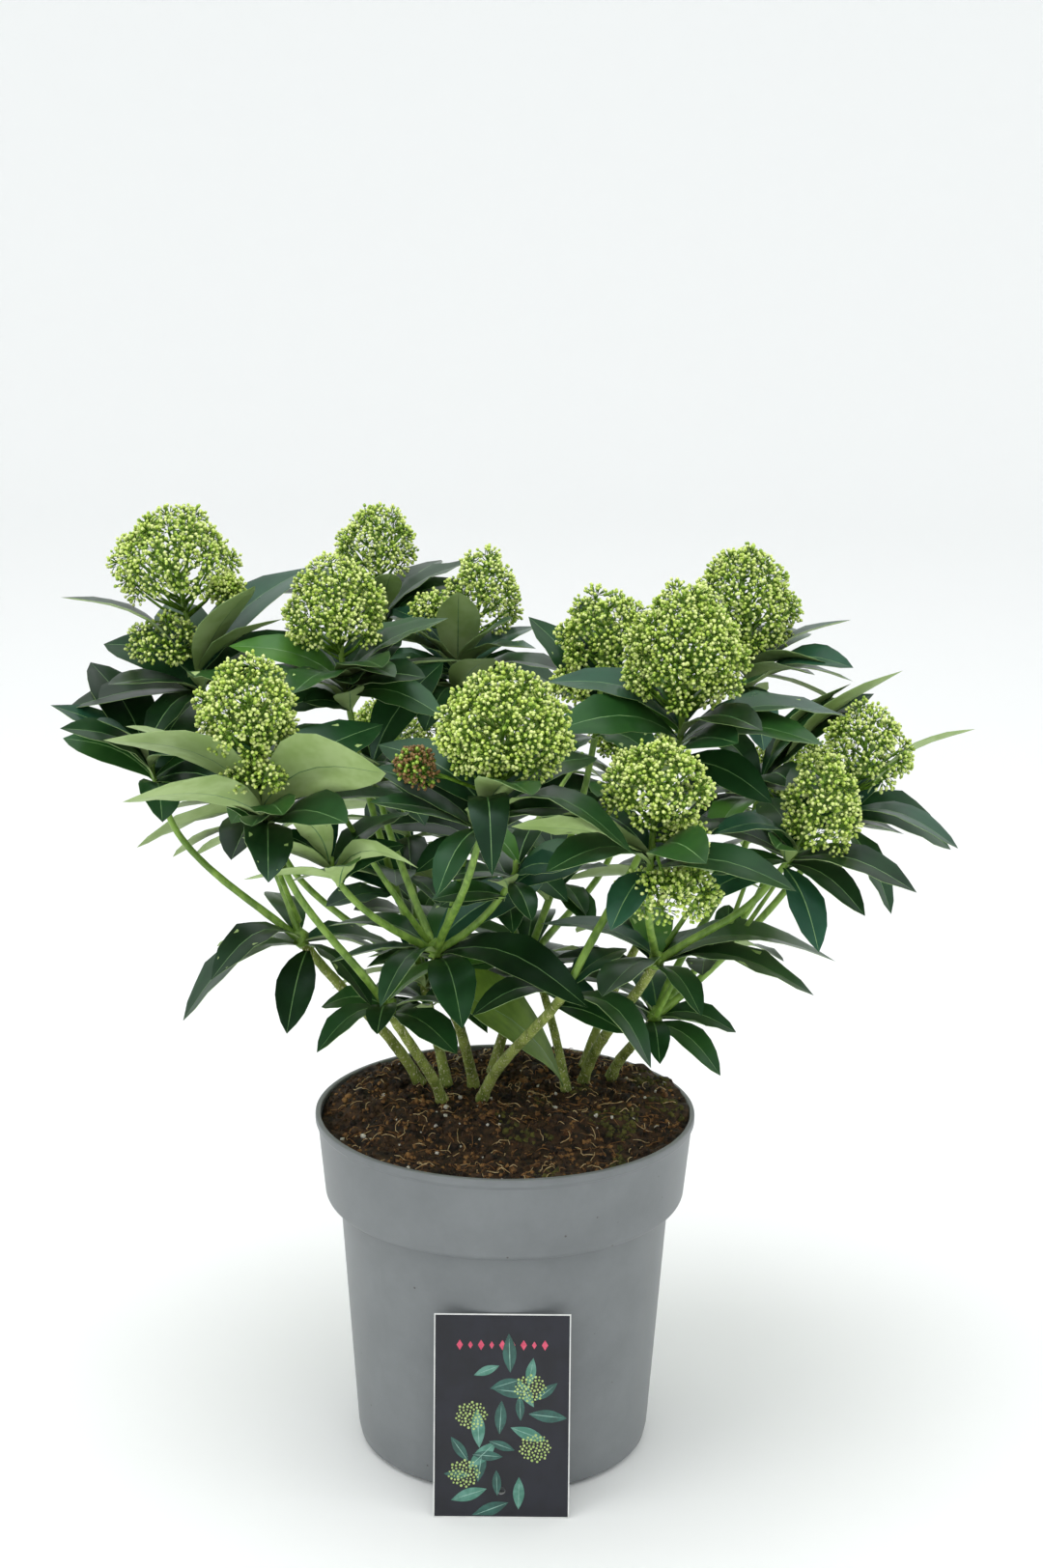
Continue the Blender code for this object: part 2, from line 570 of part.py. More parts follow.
def leaf_plan(seed, count, usual_length, aims, lowest_rise, highest_rise):
    """Bearing, rise, length, width, arch and twist of each leaf of a ring.

    The leaves that stand out come first, as aimed. Each further leaf takes the middle of the
    widest free sector, with a seeded rise, length and bow.
    """
    rng = random.Random(seed)
    plan = []
    for i in range(count):
        ratio = rng.uniform(*LEAF_WIDTH_RATIO)
        twist = rng.uniform(-0.35, 0.35)
        turn = rng.uniform(-9, 9)
        rise = rng.uniform(lowest_rise, highest_rise)
        length = usual_length * rng.uniform(0.86, 1.1) * MM
        arch = rng.uniform(0.08, 0.18)
        bearing = 360.0 * rng.random()
        if i < len(aims):
            bearing, rise, length, arch = aims[i]
            length, arch = length * MM, arch / 100.0
        elif plan:
            bearing = widest_gap_middle([row[0] for row in plan]) + turn
        plan.append((bearing, rise, length, 0.5 * ratio * length, arch, twist))
    return plan


TURNS = ((0, 0, 1.0), (9, 0, 1.0), (-9, 0, 1.0), (0, 9, 1.0), (0, -9, 1.0), (18, 6, 1.0),
         (-18, 6, 1.0), (12, -14, 0.9), (-12, -14, 0.9), (0, 20, 0.9), (26, 0, 0.85),
         (-26, 0, 0.85), (0, 0, 0.75), (14, 10, 0.7), (-14, 10, 0.7))


def grow_leaves(owner, base, axis, plan, obstacles):
    """Each leaf of the plan in the first turned variant that keeps to free space."""
    pieces = []
    ranks = sorted(range(len(plan)), key=lambda i: plan[i][1])
    for i, (bearing, rise, length, half_width, arch, twist) in enumerate(plan):
        level = ranks.index(i) / max(len(plan) - 1, 1) - 0.6
        root = base + axis * RING_DEPTH * level
        for turn, lift, share in TURNS:
            shape = (root, bearing + turn, rise + lift, length * share, half_width * share, arch, twist)
            if not obstacles.blocks(owner, *leaf(*shape, grow=LEAF_MARGIN)):
                pieces.append(leaf(*shape))
                obstacles.add(owner, "leaf", *pieces[-1])
                break
    return pieces


def fuse(name, pieces, finish, solver="EXACT"):
    """Join the overlapping closed pieces into one closed solid.

    The first piece takes the union of a collection that holds the rest. The collection's
    objects are then removed. Sealed hollows and loose scraps are dropped.
    """
    parts = bpy.data.collections.new(name + "_parts")
    bpy.context.scene.collection.children.link(parts)
    body = make_object(name + "_raw", *pieces[0])
    for i, piece in enumerate(pieces[1:]):
        part = make_object(f"{name}_part_{i}", *piece)
        bpy.context.scene.collection.objects.unlink(part)
        parts.objects.link(part)
    union = body.modifiers.new("union", "BOOLEAN")
    union.operation = "UNION"
    union.operand_type = "COLLECTION"
    union.collection = parts
    union.solver = solver
    evaluated = body.evaluated_get(bpy.context.evaluated_depsgraph_get())
    shape = bmesh.new()
    shape.from_mesh(evaluated.to_mesh())
    evaluated.to_mesh_clear()
    for part in list(parts.objects) + [body]:
        bpy.data.objects.remove(part)
    bpy.data.collections.remove(parts)
    bmesh.ops.remove_doubles(shape, verts=shape.verts, dist=WELD)
    bmesh.ops.dissolve_degenerate(shape, edges=shape.edges, dist=WELD)
    keep_largest_body(shape)
    bmesh.ops.triangulate(shape, faces=shape.faces)
    closed = all(len(edge.link_faces) == 2 for edge in shape.edges)
    if not closed and solver == "EXACT":
        shape.free()
        return fuse(name, pieces, finish, "MANIFOLD")
    mesh = bpy.data.meshes.new(name)
    shape.to_mesh(mesh)
    shape.free()
    mesh.materials.append(finish)
    made = bpy.data.objects.new(name, mesh)
    bpy.context.scene.collection.objects.link(made)
    return made


def keep_largest_body(shape):
    """Delete every connected part of the mesh but the largest one."""
    seen = set()
    bodies = []
    for vertex in shape.verts:
        if vertex in seen:
            continue
        body = []
        waiting = [vertex]
        seen.add(vertex)
        while waiting:
            current = waiting.pop()
            body.append(current)
            for edge in current.link_edges:
                neighbour = edge.other_vert(current)
                if neighbour not in seen:
                    seen.add(neighbour)
                    waiting.append(neighbour)
        bodies.append(body)
    bodies.sort(key=len)
    for body in bodies[:-1]:
        bmesh.ops.delete(shape, geom=body, context="VERTS")


def fork_pieces(name, routes):
    """The stub from the stem below, the swollen joint, and a stub for each limb above."""
    place = np.array(FORKS[name].place)
    stem_foot = next(foot for foot, fork in STEMS.values() if fork == name)
    below = unit(place - np.array((stem_foot[0], stem_foot[1], GROUND)))
    pieces = [tube((place - STUB_LENGTH * below, place), (STEM_TOP_RADIUS, STEM_TOP_RADIUS), STEM_SIDES)]
    joint = bmesh.new()
    bmesh.ops.create_icosphere(joint, subdivisions=1, radius=FORK_RADIUS)
    vertices = [place + np.array(v.co) for v in joint.verts]
    faces = [[v.index for v in face.verts] for face in joint.faces]
    joint.free()
    pieces.append((vertices, faces))
    for spray_name, route in routes.items():
        if SPRAYS[spray_name].carrier == name:
            pieces.append(tube((place, route.start), (LIMB_RADIUS, LIMB_RADIUS), LIMB_SIDES))
    return pieces, below


def spray_pieces(name, spray, route):
    """The spray's own stem, its heads of buds and the stalks of its side heads."""
    rng = random.Random(name)
    place = np.array(spray.place)
    top = spray_top(spray)
    if spray.has_limb:
        first_way = route.end_way
        path = np.array((route.end + CLEAR * first_way, place))
    else:
        first_way = route.start_way
        path = smooth_path(route.start + CLEAR * first_way, first_way, place, route.end_way, STATIONS)
    path = np.vstack((path, top[None]))
    low = LIMB_TOP_RADIUS if spray.has_limb else LIMB_TOP_RADIUS * LONG_SHOOT_SHARE
    radii = np.linspace(low, HEAD_STALK_RADIUS if spray.heads else LIMB_TOP_RADIUS, len(path))
    stalks = [tube(path, radii, SHOOT_SIDES, first_way)]
    heads = []
    for i, (x, y, z, width, height) in enumerate(spray.heads):
        centre = place + MM * np.array((x, y, z))
        width, height = width * MM, height * MM
        heads.append(bud_head(centre, width, height, 1 if i else 2, rng))
        if i:
            joint = mix(place, top, LOBE_JOINT_SHARE) if z > 0 else place + MM * np.array((0.0, 0.0, z))
            stalks.append(tube((joint, centre), (LOBE_STALK_RADIUS, LOBE_STALK_RADIUS), LOBE_STALK_SIDES))
    return stalks, heads


def build():
    """Model the pot, the compost, the card and the whole plant."""
    for old in list(bpy.data.objects):
        bpy.data.objects.remove(old)
    make_pot()
    make_soil()
    make_label()
    routes = plan_routes()
    obstacles = Obstacles()
    bark = material("speckled_bark", "6f7a45", 0.75)
    green_wood = material("green_shoot", "7f9f45", 0.5)
    leafy = material("glossy_leaf", "2b5342", 0.32)
    budding = material("flower_buds", "a9c763", 0.6)
    for name in ("pot", "soil"):
        mesh = bpy.data.objects[name].data
        obstacles.add(name, "limb", [v.co for v in mesh.vertices], [p.vertices for p in mesh.polygons])

    for name, (foot, fork) in STEMS.items():
        if fork:
            place = np.array(FORKS[fork].place)
            way = unit(place - np.array((foot[0], foot[1], GROUND)))
            path = stem_path(foot, place - (STUB_LENGTH + CLEAR) * way, way)
            radii = stem_radii(path, STEM_RADIUS, STEM_TOP_RADIUS)
        else:
            route = next(r for s, r in routes.items() if SPRAYS[s].carrier == name)
            way = route.end_way
            path = stem_path(foot, route.end, way)
            radii = stem_radii(path, THIN_STEM_SHARE * STEM_RADIUS, LIMB_TOP_RADIUS)
        shape = tube(path, radii, STEM_SIDES, UP, way)
        make_object(name, *shape, bark, 50)
        obstacles.add(name, "limb", *shape)

    for name, spray in SPRAYS.items():
        if spray.has_limb and spray.carrier in FORKS:
            route = routes[name]
            limb = name.replace("spray", "limb")
            path = smooth_path(route.start + CLEAR * route.start_way, route.start_way,
                               route.end, route.end_way, STATIONS)
            radii = np.linspace(LIMB_RADIUS, LIMB_TOP_RADIUS, STATIONS)
            shape = tube(path, radii, LIMB_SIDES, route.start_way, route.end_way)
            make_object(limb, *shape, green_wood, 50)
            obstacles.add(limb, "limb", *shape)

    plant = {}
    for name in FORKS:
        pieces, axis = fork_pieces(name, routes)
        plant[name] = (pieces, axis)
        for piece in pieces:
            obstacles.add(name, "stalk", *piece)
    for name, spray in SPRAYS.items():
        stalks, heads = spray_pieces(name, spray, routes[name])
        plant[name] = (stalks + heads, routes[name].end_way)
        for piece in stalks:
            obstacles.add(name, "stalk", *piece)
        for piece in heads:
            obstacles.add(name, "head", *piece)

    for name, whorl in list(SPRAYS.items()) + list(FORKS.items()):
        rises = (-4, 30) if name in SPRAYS else (-18, 14)
        plan = leaf_plan(name, whorl.leaves, whorl.length, whorl.aims, *rises)
        pieces, axis = plant[name]
        leaves = grow_leaves(name, np.array(whorl.place), axis, plan, obstacles)
        print(f"{name}: {len(leaves)} of {len(plan)} leaves")
        finish = budding if name in SPRAYS and whorl.heads else leafy
        fuse(name, pieces + leaves, finish)


build()
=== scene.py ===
# %% [markdown]
# A potted skimmia: an evergreen shrub with glossy leaves in rings, domed heads of pale green flower
# buds, a grey nursery pot, dark compost and a leaning picture card. The solid model is loaded first
# as a fixed frame. Every piece below is grown round it, in metres, with the pot's underside at the
# origin, +X to the plant's right and +Y to its back.

import json
import math
import random
from typing import NamedTuple

import bpy
import numpy as np
from mathutils import Matrix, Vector
from mathutils.bvhtree import BVHTree

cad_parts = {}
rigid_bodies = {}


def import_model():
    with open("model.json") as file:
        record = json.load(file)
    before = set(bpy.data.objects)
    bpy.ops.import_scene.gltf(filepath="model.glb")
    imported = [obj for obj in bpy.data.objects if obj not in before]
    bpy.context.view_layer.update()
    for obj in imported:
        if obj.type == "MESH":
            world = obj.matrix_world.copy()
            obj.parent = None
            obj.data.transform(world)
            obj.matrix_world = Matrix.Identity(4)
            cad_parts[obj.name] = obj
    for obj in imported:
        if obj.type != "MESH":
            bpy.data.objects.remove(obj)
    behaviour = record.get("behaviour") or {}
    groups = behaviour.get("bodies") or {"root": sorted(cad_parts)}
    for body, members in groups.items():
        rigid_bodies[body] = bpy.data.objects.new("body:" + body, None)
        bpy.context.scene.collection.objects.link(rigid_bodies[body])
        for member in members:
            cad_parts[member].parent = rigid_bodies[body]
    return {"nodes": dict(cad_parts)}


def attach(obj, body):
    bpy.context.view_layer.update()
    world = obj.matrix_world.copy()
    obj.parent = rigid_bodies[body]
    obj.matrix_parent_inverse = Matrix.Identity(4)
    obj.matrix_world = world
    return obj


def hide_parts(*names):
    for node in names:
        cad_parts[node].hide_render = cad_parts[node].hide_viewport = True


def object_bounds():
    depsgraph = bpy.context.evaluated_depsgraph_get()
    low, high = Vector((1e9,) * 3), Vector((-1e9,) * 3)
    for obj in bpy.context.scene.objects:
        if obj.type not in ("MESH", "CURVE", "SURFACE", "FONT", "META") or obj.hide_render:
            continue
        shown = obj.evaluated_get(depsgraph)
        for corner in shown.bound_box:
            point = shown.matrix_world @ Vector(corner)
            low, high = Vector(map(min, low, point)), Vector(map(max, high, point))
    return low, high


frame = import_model()
CAD_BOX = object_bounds()
NODES = frame["nodes"]
MM = 0.001
UP = np.array((0.0, 0.0, 1.0))
print("solid model, mm:", [round((high - low) / MM, 1) for low, high in zip(*CAD_BOX)])

# %% [markdown]
# The camera comes first, because every later choice is judged through it. The picture was taken
# from 1.6 m away, a little above the plant and looking down on it. A focal length that is given in
# pixels becomes one in millimetres by the share of the sensor that each pixel covers.

# %% Camera
IMAGE_HEIGHT = 1624
FOCAL_PIXELS = 3000
SENSOR_MM = 36.0
CAMERA_PLACE = (0.0079, -1.5966, 0.8158)
CAMERA_DOWN_DEGREES = 14.553
CAMERA_ROLL = 0.009         # radians: the camera was held very slightly askew

camera_data = bpy.data.cameras.new("camera")
camera_data.sensor_fit = "VERTICAL"
camera_data.sensor_height = SENSOR_MM
camera_data.lens = FOCAL_PIXELS * SENSOR_MM / IMAGE_HEIGHT
camera = bpy.data.objects.new("camera", camera_data)
camera.matrix_world = (Matrix.Translation(CAMERA_PLACE)
                       @ Matrix.Rotation(math.radians(90 - CAMERA_DOWN_DEGREES), 4, "X")
                       @ Matrix.Rotation(CAMERA_ROLL, 4, "Z"))
bpy.context.scene.collection.objects.link(camera)
bpy.context.scene.camera = camera
bpy.context.scene.view_settings.view_transform = "Standard"
print("lens, mm:", round(camera_data.lens, 1))

# %% [markdown]
# Colours are written as sRGB hex codes, as a paint shop gives them, but the renderer adds light in
# linear numbers, so one function turns them. Another adds a shader node: its settings are the
# node's own properties, and each socket gets a number, a colour or the output of another node.

# %% Colours and shader nodes


def linear_colour(hex_code):
    """Linear RGBA of an sRGB hex colour: a straight toe below 0.04045, a power of 2.4 above."""
    channels = [int(hex_code[i:i + 2], 16) / 255.0 for i in (0, 2, 4)]
    return [c / 12.92 if c <= 0.04045 else ((c + 0.055) / 1.055) ** 2.4 for c in channels] + [1.0]


def add_node(tree, kind, settings, sockets):
    """Adds one node. settings: property and value. sockets: name or number, and value or output."""
    made = tree.nodes.new(kind)
    for key, value in settings.items():
        setattr(made, key, value)
    for key, value in sockets.items():
        if isinstance(value, bpy.types.NodeSocket):
            tree.links.new(value, made.inputs[key])
        else:
            made.inputs[key].default_value = value
    return made


print("a mid grey, #808080, in linear light:", round(linear_colour("808080")[0], 3))

# %% [markdown]
# Most finishes here are natural, and nothing natural has one even colour. A picture could show
# that, but it would blur close by and needs the surface unrolled. So a finish is two near colours
# mixed by cloudy noise, whose patches have a real size in millimetres. The noise reads the place
# on the piece itself, so the pattern stays on it when the piece moves.

# %% Mottled finishes


def new_material(name, roughness, ior=1.45, coat=0.0, sheen_hex="ffffff"):
    """A Principled material with its constants set on the shader. Gives the tree and the shader.

    sheen_hex tints the mirrored light, as a waxy film on a leaf does.
    """
    made = bpy.data.materials.new(name)
    made.use_nodes = True
    shader = made.node_tree.nodes["Principled BSDF"]
    shader.inputs["Roughness"].default_value = roughness
    shader.inputs["IOR"].default_value = ior
    shader.inputs["Coat Weight"].default_value = coat
    shader.inputs["Coat Roughness"].default_value = 0.15
    shader.inputs["Specular Tint"].default_value = linear_colour(sheen_hex)
    return made, made.node_tree, shader


def mottled(name, dark, pale, grain_mm, roughness, relief_mm=0.0, stretch=(1, 1, 1), **shader_values):
    """A natural finish: two colours mixed by cloudy noise with patches of grain_mm.

    A noise of a third of that size varies the roughness by 0.05 either way and raises the relief.
    """
    made, tree, shader = new_material(name, roughness, **shader_values)
    place = add_node(tree, "ShaderNodeTexCoord", {}, {}).outputs["Object"]
    stretched = add_node(tree, "ShaderNodeMapping", {}, {"Vector": place, "Scale": stretch})
    clouds = add_node(tree, "ShaderNodeTexNoise", {}, {
        "Vector": stretched.outputs[0], "Scale": 1 / (grain_mm * MM), "Detail": 3.0, "Roughness": 0.6})
    share = add_node(tree, "ShaderNodeMapRange", {"interpolation_type": "SMOOTHSTEP"}, {
        "Value": clouds.outputs[0], "From Min": 0.35, "From Max": 0.65})
    colour = add_node(tree, "ShaderNodeMix", {"data_type": "RGBA"}, {
        0: share.outputs[0], 6: linear_colour(dark), 7: linear_colour(pale)})
    tree.links.new(colour.outputs[2], shader.inputs["Base Color"])
    fine = add_node(tree, "ShaderNodeTexNoise", {}, {
        "Vector": stretched.outputs[0], "Scale": 3 / (grain_mm * MM), "Detail": 2.0})
    gloss = add_node(tree, "ShaderNodeMapRange", {}, {
        "Value": fine.outputs[0], "To Min": roughness - 0.05, "To Max": roughness + 0.05})
    tree.links.new(gloss.outputs[0], shader.inputs["Roughness"])
    if relief_mm:
        bump = add_node(tree, "ShaderNodeBump", {}, {
            "Height": fine.outputs[0], "Distance": relief_mm * MM, "Strength": 1.0})
        tree.links.new(bump.outputs[0], shader.inputs["Normal"])
    return made


# %% [markdown]
# Nearly everything here is a rod: rings of points along a path, closed by a pole at each end. A
# leaf is a rod with a flat section, a bud is one with two rings, and a stem is one with forty. So
# one table of faces fits them all. Blender's own cylinders would leave each copy an object of its
# own, and thousands of objects are slow, while one table can be repeated as an array.

# %% Directions and the faces of a rod


def unit(vectors):
    """The vectors at length one, along their last axis."""
    vectors = np.asarray(vectors, float)
    return vectors / np.maximum(np.linalg.norm(vectors, axis=-1, keepdims=True), 1e-12)


def mix(start, end, share):
    """The value that lies this share of the way from start to end."""
    return start + (end - start) * share


def square_frame(ways):
    """Two unit vectors square to each way and to each other."""
    flat = np.where(np.abs(ways[..., 2:]) > 0.9, (1.0, 0.0, 0.0), (0.0, 0.0, 1.0))
    side = unit(np.cross(ways, flat))
    return side, np.cross(ways, side)


def rod_faces(rings, sides):
    """Quads between neighbouring rings, then triangles to both poles, which are the last points."""
    i = np.arange(sides)
    j = (i + 1) % sides
    ring = np.arange(rings - 1)[:, None] * sides
    quads = np.stack((ring + i, ring + j, ring + sides + j, ring + sides + i), axis=-1).reshape(-1, 4)
    last = (rings - 1) * sides
    start_fan = np.stack((np.full(sides, rings * sides), j, i), axis=-1)
    end_fan = np.stack((last + i, last + j, np.full(sides, rings * sides + 1)), axis=-1)
    return quads, np.vstack((start_fan, end_fan))


def signed_volume(points, quads, triangles):
    """A sixth of the sum of a · (b × c) over the triangles. It is negative when faces point inward."""
    corners = np.vstack((quads[:, [0, 1, 2]], quads[:, [0, 2, 3]], triangles))
    a, b, c = (points[corners[:, k]] - points.mean(axis=0) for k in range(3))
    return np.einsum("ij,ij", a, np.cross(b, c)) / 6


quads, triangles = rod_faces(4, 6)
print("a rod of 4 rings with 6 sides:", len(quads), "quads,", len(triangles), "triangles")

# %% [markdown]
# A pile gathers thousands of copies into one closed mesh: it shifts the face table of each copy by
# the points that are already there, and turns the faces outward where a copy is inside out. Each
# side of a copy can have a finish of its own.

# %% A pile of copies


class Pile:
    """Copies of closed rods, gathered for one joined mesh."""

    def __init__(self):
        self.points = []
        self.quads = []
        self.triangles = []
        self.quad_slots = []
        self.triangle_slots = []
        self.total = 0

    def add(self, points, rings, sides, slots=0):
        """points: (copies, rings · sides + 2, 3). slots: a number, one per side, or one per copy and side."""
        quads, triangles = rod_faces(rings, sides)
        if signed_volume(points[0], quads, triangles) < 0:
            quads, triangles = quads[:, ::-1], triangles[:, ::-1]
        copies = len(points)
        offsets = self.total + np.arange(copies)[:, None, None] * points.shape[1]
        self.points.append(points.reshape(-1, 3))
        self.quads.append((offsets + quads).reshape(-1, 4))
        self.triangles.append((offsets + triangles).reshape(-1, 3))
        slots = np.broadcast_to(slots, (copies, sides))
        self.quad_slots.append(np.repeat(slots[:, None], rings - 1, axis=1).ravel())
        self.triangle_slots.append(np.repeat(slots[:, None], 2, axis=1).ravel())
        self.total += copies * points.shape[1]

    def add_rods(self, paths, radii, sides, slots=0, ends=0.0):
        """Adds round bars, as `rods` makes them."""
        self.add(rods(paths, radii, sides, ends), np.shape(paths)[1], sides, slots)

    def add_lumps(self, points, slots=0):
        """Adds small rounded bodies, as `lumps` makes them."""
        self.add(points, len(LUMP_SHAPE), LUMP_SIDES, slots)

    def mesh(self, name, materials, sharp_degrees=None):
        """The pile as one smooth-shaded mesh, with its sharper edges kept."""
        points = np.vstack(self.points)
        quads, triangles = np.vstack(self.quads), np.vstack(self.triangles)
        made = bpy.data.meshes.new(name)
        made.vertices.add(len(points))
        made.vertices.foreach_set("co", points.ravel())
        made.loops.add(quads.size + triangles.size)
        made.loops.foreach_set("vertex_index", np.concatenate((quads.ravel(), triangles.ravel())))
        made.polygons.add(len(quads) + len(triangles))
        starts = np.concatenate((np.arange(len(quads)) * 4, quads.size + np.arange(len(triangles)) * 3))
        made.polygons.foreach_set("loop_start", starts)
        slots = np.concatenate(self.quad_slots + self.triangle_slots)
        made.polygons.foreach_set("material_index", slots)
        for finish in materials:
            made.materials.append(finish)
        made.update(calc_edges=True)
        made.shade_smooth()
        if sharp_degrees:
            made.set_sharp_from_angle(angle=math.radians(sharp_degrees))
        return made

    def piece(self, name, materials, sharp_degrees=None):
        """The pile as an object in the scene. Prints its size in triangles."""
        made = bpy.data.objects.new(name, self.mesh(name, materials, sharp_degrees))
        bpy.context.scene.collection.objects.link(made)
        print(f"{name}: {sum(len(face.vertices) - 2 for face in made.data.polygons)} triangles")
        return made


# %% [markdown]
# A round bar carries a circle along its path. The circle must not spin on the way, or its faces
# twist, so one fixed axis keeps every ring facing the same side. Stems, limbs, branches, twigs and
# root threads are all such bars.

# %% Round bars


def rods(paths, radii, sides, ends=0.0):
    """Round bars, (copies, rings · sides + 2, 3), along paths of shape (copies, rings, 3).

    Each ring is path + radius · (cos a · side + sin a · other), where side is square to the path
    and nearest to one fixed axis, the one that the bar runs along the least. ends: how far the
    poles stand out, in radii.
    """
    paths = np.asarray(paths, float)
    copies, rings, _ = paths.shape
    ways = unit(np.gradient(paths, axis=1))
    least = np.argmin(np.abs(paths[:, -1] - paths[:, 0]), axis=1)
    axis = np.eye(3)[least][:, None]
    side = unit(axis - ways * np.sum(axis * ways, axis=-1, keepdims=True))
    other = np.cross(ways, side)
    radii = np.broadcast_to(radii, (copies, rings)) if np.ndim(radii) < 3 else radii
    if radii.ndim == 2:
        radii = radii[:, :, None]
    angles = np.arange(sides) * 2 * math.pi / sides
    around = (np.cos(angles)[:, None] * side[:, :, None] + np.sin(angles)[:, None] * other[:, :, None])
    points = paths[:, :, None] + radii[..., None] * around
    tips = radii.mean(axis=2)[:, :, None]
    start = paths[:, :1] - ends * tips[:, :1] * ways[:, :1]
    end = paths[:, -1:] + ends * tips[:, -1:] * ways[:, -1:]
    return np.concatenate((points.reshape(copies, -1, 3), start, end), axis=1)


# %% [markdown]
# Buds, crumbs of peat and grains of perlite are small rounded bodies, far too many for spheres. A
# body of 20 faces with smooth shading looks round at this size, and its ten ring points are turned
# at random, so that no two look alike.

# %% Lumps
LUMP_SIDES = 5
LUMP_SHAPE = ((0.24, 0.90), (0.70, 0.90))       # height share and width share of its two rings


def lumps(feet, ways, lengths, widths, rng, rough=0.0):
    """Small rounded bodies of 20 faces that stand on their feet along the given ways.

    Two rings of five points lie between a pole at the foot and one at the top. rough moves each
    point at random by that share of the width.
    """
    copies = len(feet)
    ways = unit(ways)
    side, other = square_frame(ways)
    turn = rng.uniform(0, 2 * math.pi, (copies, 1))
    rows = [feet[:, None], (feet + ways * lengths[:, None])[:, None]]
    rings = []
    for k, (height, width) in enumerate(LUMP_SHAPE):
        angles = turn + (np.arange(LUMP_SIDES) + 0.5 * k) * 2 * math.pi / LUMP_SIDES
        around = np.cos(angles)[..., None] * side[:, None] + np.sin(angles)[..., None] * other[:, None]
        middle = feet + ways * (lengths * height)[:, None]
        rings.append(middle[:, None] + around * (0.5 * width * widths)[:, None, None])
    points = np.concatenate(rings + rows, axis=1)
    if rough:
        points = points + rng.normal(0, 1, points.shape) * (rough * widths)[:, None, None]
    return points


# %% [markdown]
# The pot is an injection-moulded nursery pot of grey polypropylene: a tapered body, a wide collar
# and a thin rolled rim. It could be a cylinder with loop cuts, but one profile, outside up and
# inside down, that is turned about +Z gives the wall its true thickness at once. The profile's
# corners are rounded first, because a mould has no knife edges.

# %% Profile of the pot
POT_HEIGHT = 0.205
POT_BASE_RADIUS = 0.0805
POT_BODY_LOW = (0.0865, 0.010)
POT_BODY_TOP = (0.0968, 0.154)
COLLAR_UNDERSIDE = (0.1040, 0.1545)
COLLAR_LOW = (0.1053, 0.157)
COLLAR_TOP = (0.1095, 0.199)
RIM_RADIUS = 0.111
RIM_DEPTH = 0.0045
WALL = 0.0016
FLOOR = 0.0030
FOOT_STEP = (0.0850, 0.003)         # radius and height where the foot's bevel ends
CORNER_CUT = 0.0010                 # how far from a corner its rounding starts
DRAIN_COUNT = 6
DRAIN_RADIUS = 0.004
DRAIN_RING = 0.055
DRAIN_SIDES = 20
POT_SIDES = 160


def rounded_corners(profile, cut, steps=4):
    """Each corner of the line becomes a parabola between points at most `cut` away from it.

    The parabola is (1-t)²·a + 2t(1-t)·corner + t²·b.
    """
    profile = np.asarray(profile, float)
    points = [profile[:1]]
    t = np.linspace(0, 1, steps)[:, None]
    for before, corner, after in zip(profile, profile[1:], profile[2:]):
        near = min(cut, 0.4 * np.linalg.norm(before - corner))
        far = min(cut, 0.4 * np.linalg.norm(after - corner))
        a, b = corner + near * unit(before - corner), corner + far * unit(after - corner)
        points.append((1 - t) ** 2 * a + 2 * t * (1 - t) * corner + t ** 2 * b)
    return np.vstack(points + [profile[-1:]])


def turned(profile, sides):
    """Points of a (radius, height) profile turned about +Z: its first and last points are poles."""
    angles = np.arange(sides) * 2 * math.pi / sides
    radius, height = profile[1:-1, 0, None], profile[1:-1, 1, None]
    points = np.stack((radius * np.cos(angles), radius * np.sin(angles),
                       height + 0 * angles), axis=-1).reshape(-1, 3)
    poles = [(0, 0, profile[0, 1]), (0, 0, profile[-1, 1])]
    return np.vstack((points, poles))[None]


outer_wall = [(0, 0), (POT_BASE_RADIUS, 0), FOOT_STEP, POT_BODY_LOW, POT_BODY_TOP, COLLAR_UNDERSIDE,
              COLLAR_LOW, COLLAR_TOP, (RIM_RADIUS, POT_HEIGHT - RIM_DEPTH), (RIM_RADIUS, POT_HEIGHT)]
inner_wall = [(COLLAR_TOP[0] - WALL, POT_HEIGHT), (COLLAR_TOP[0] - WALL, COLLAR_TOP[1]),
              (COLLAR_LOW[0] - WALL, COLLAR_LOW[1] + WALL), (POT_BODY_TOP[0] - WALL, POT_BODY_TOP[1] + WALL),
              (POT_BODY_LOW[0] - WALL, POT_BODY_LOW[1]), (POT_BASE_RADIUS, FLOOR), (0, FLOOR)]
pot_profile = rounded_corners(outer_wall + inner_wall, CORNER_CUT)
print("points of the pot's profile:", len(pot_profile))

# %% [markdown]
# The pot is moulded polypropylene, dyed grey in the mass. A moulded skin is satin and has a faint
# orange peel, 1.6 mm wide and a few hundredths deep, which breaks up its highlights. Use has left
# cloudy dust in patches of 45 mm and a few dark specks of peat.

# %% Moulded plastic


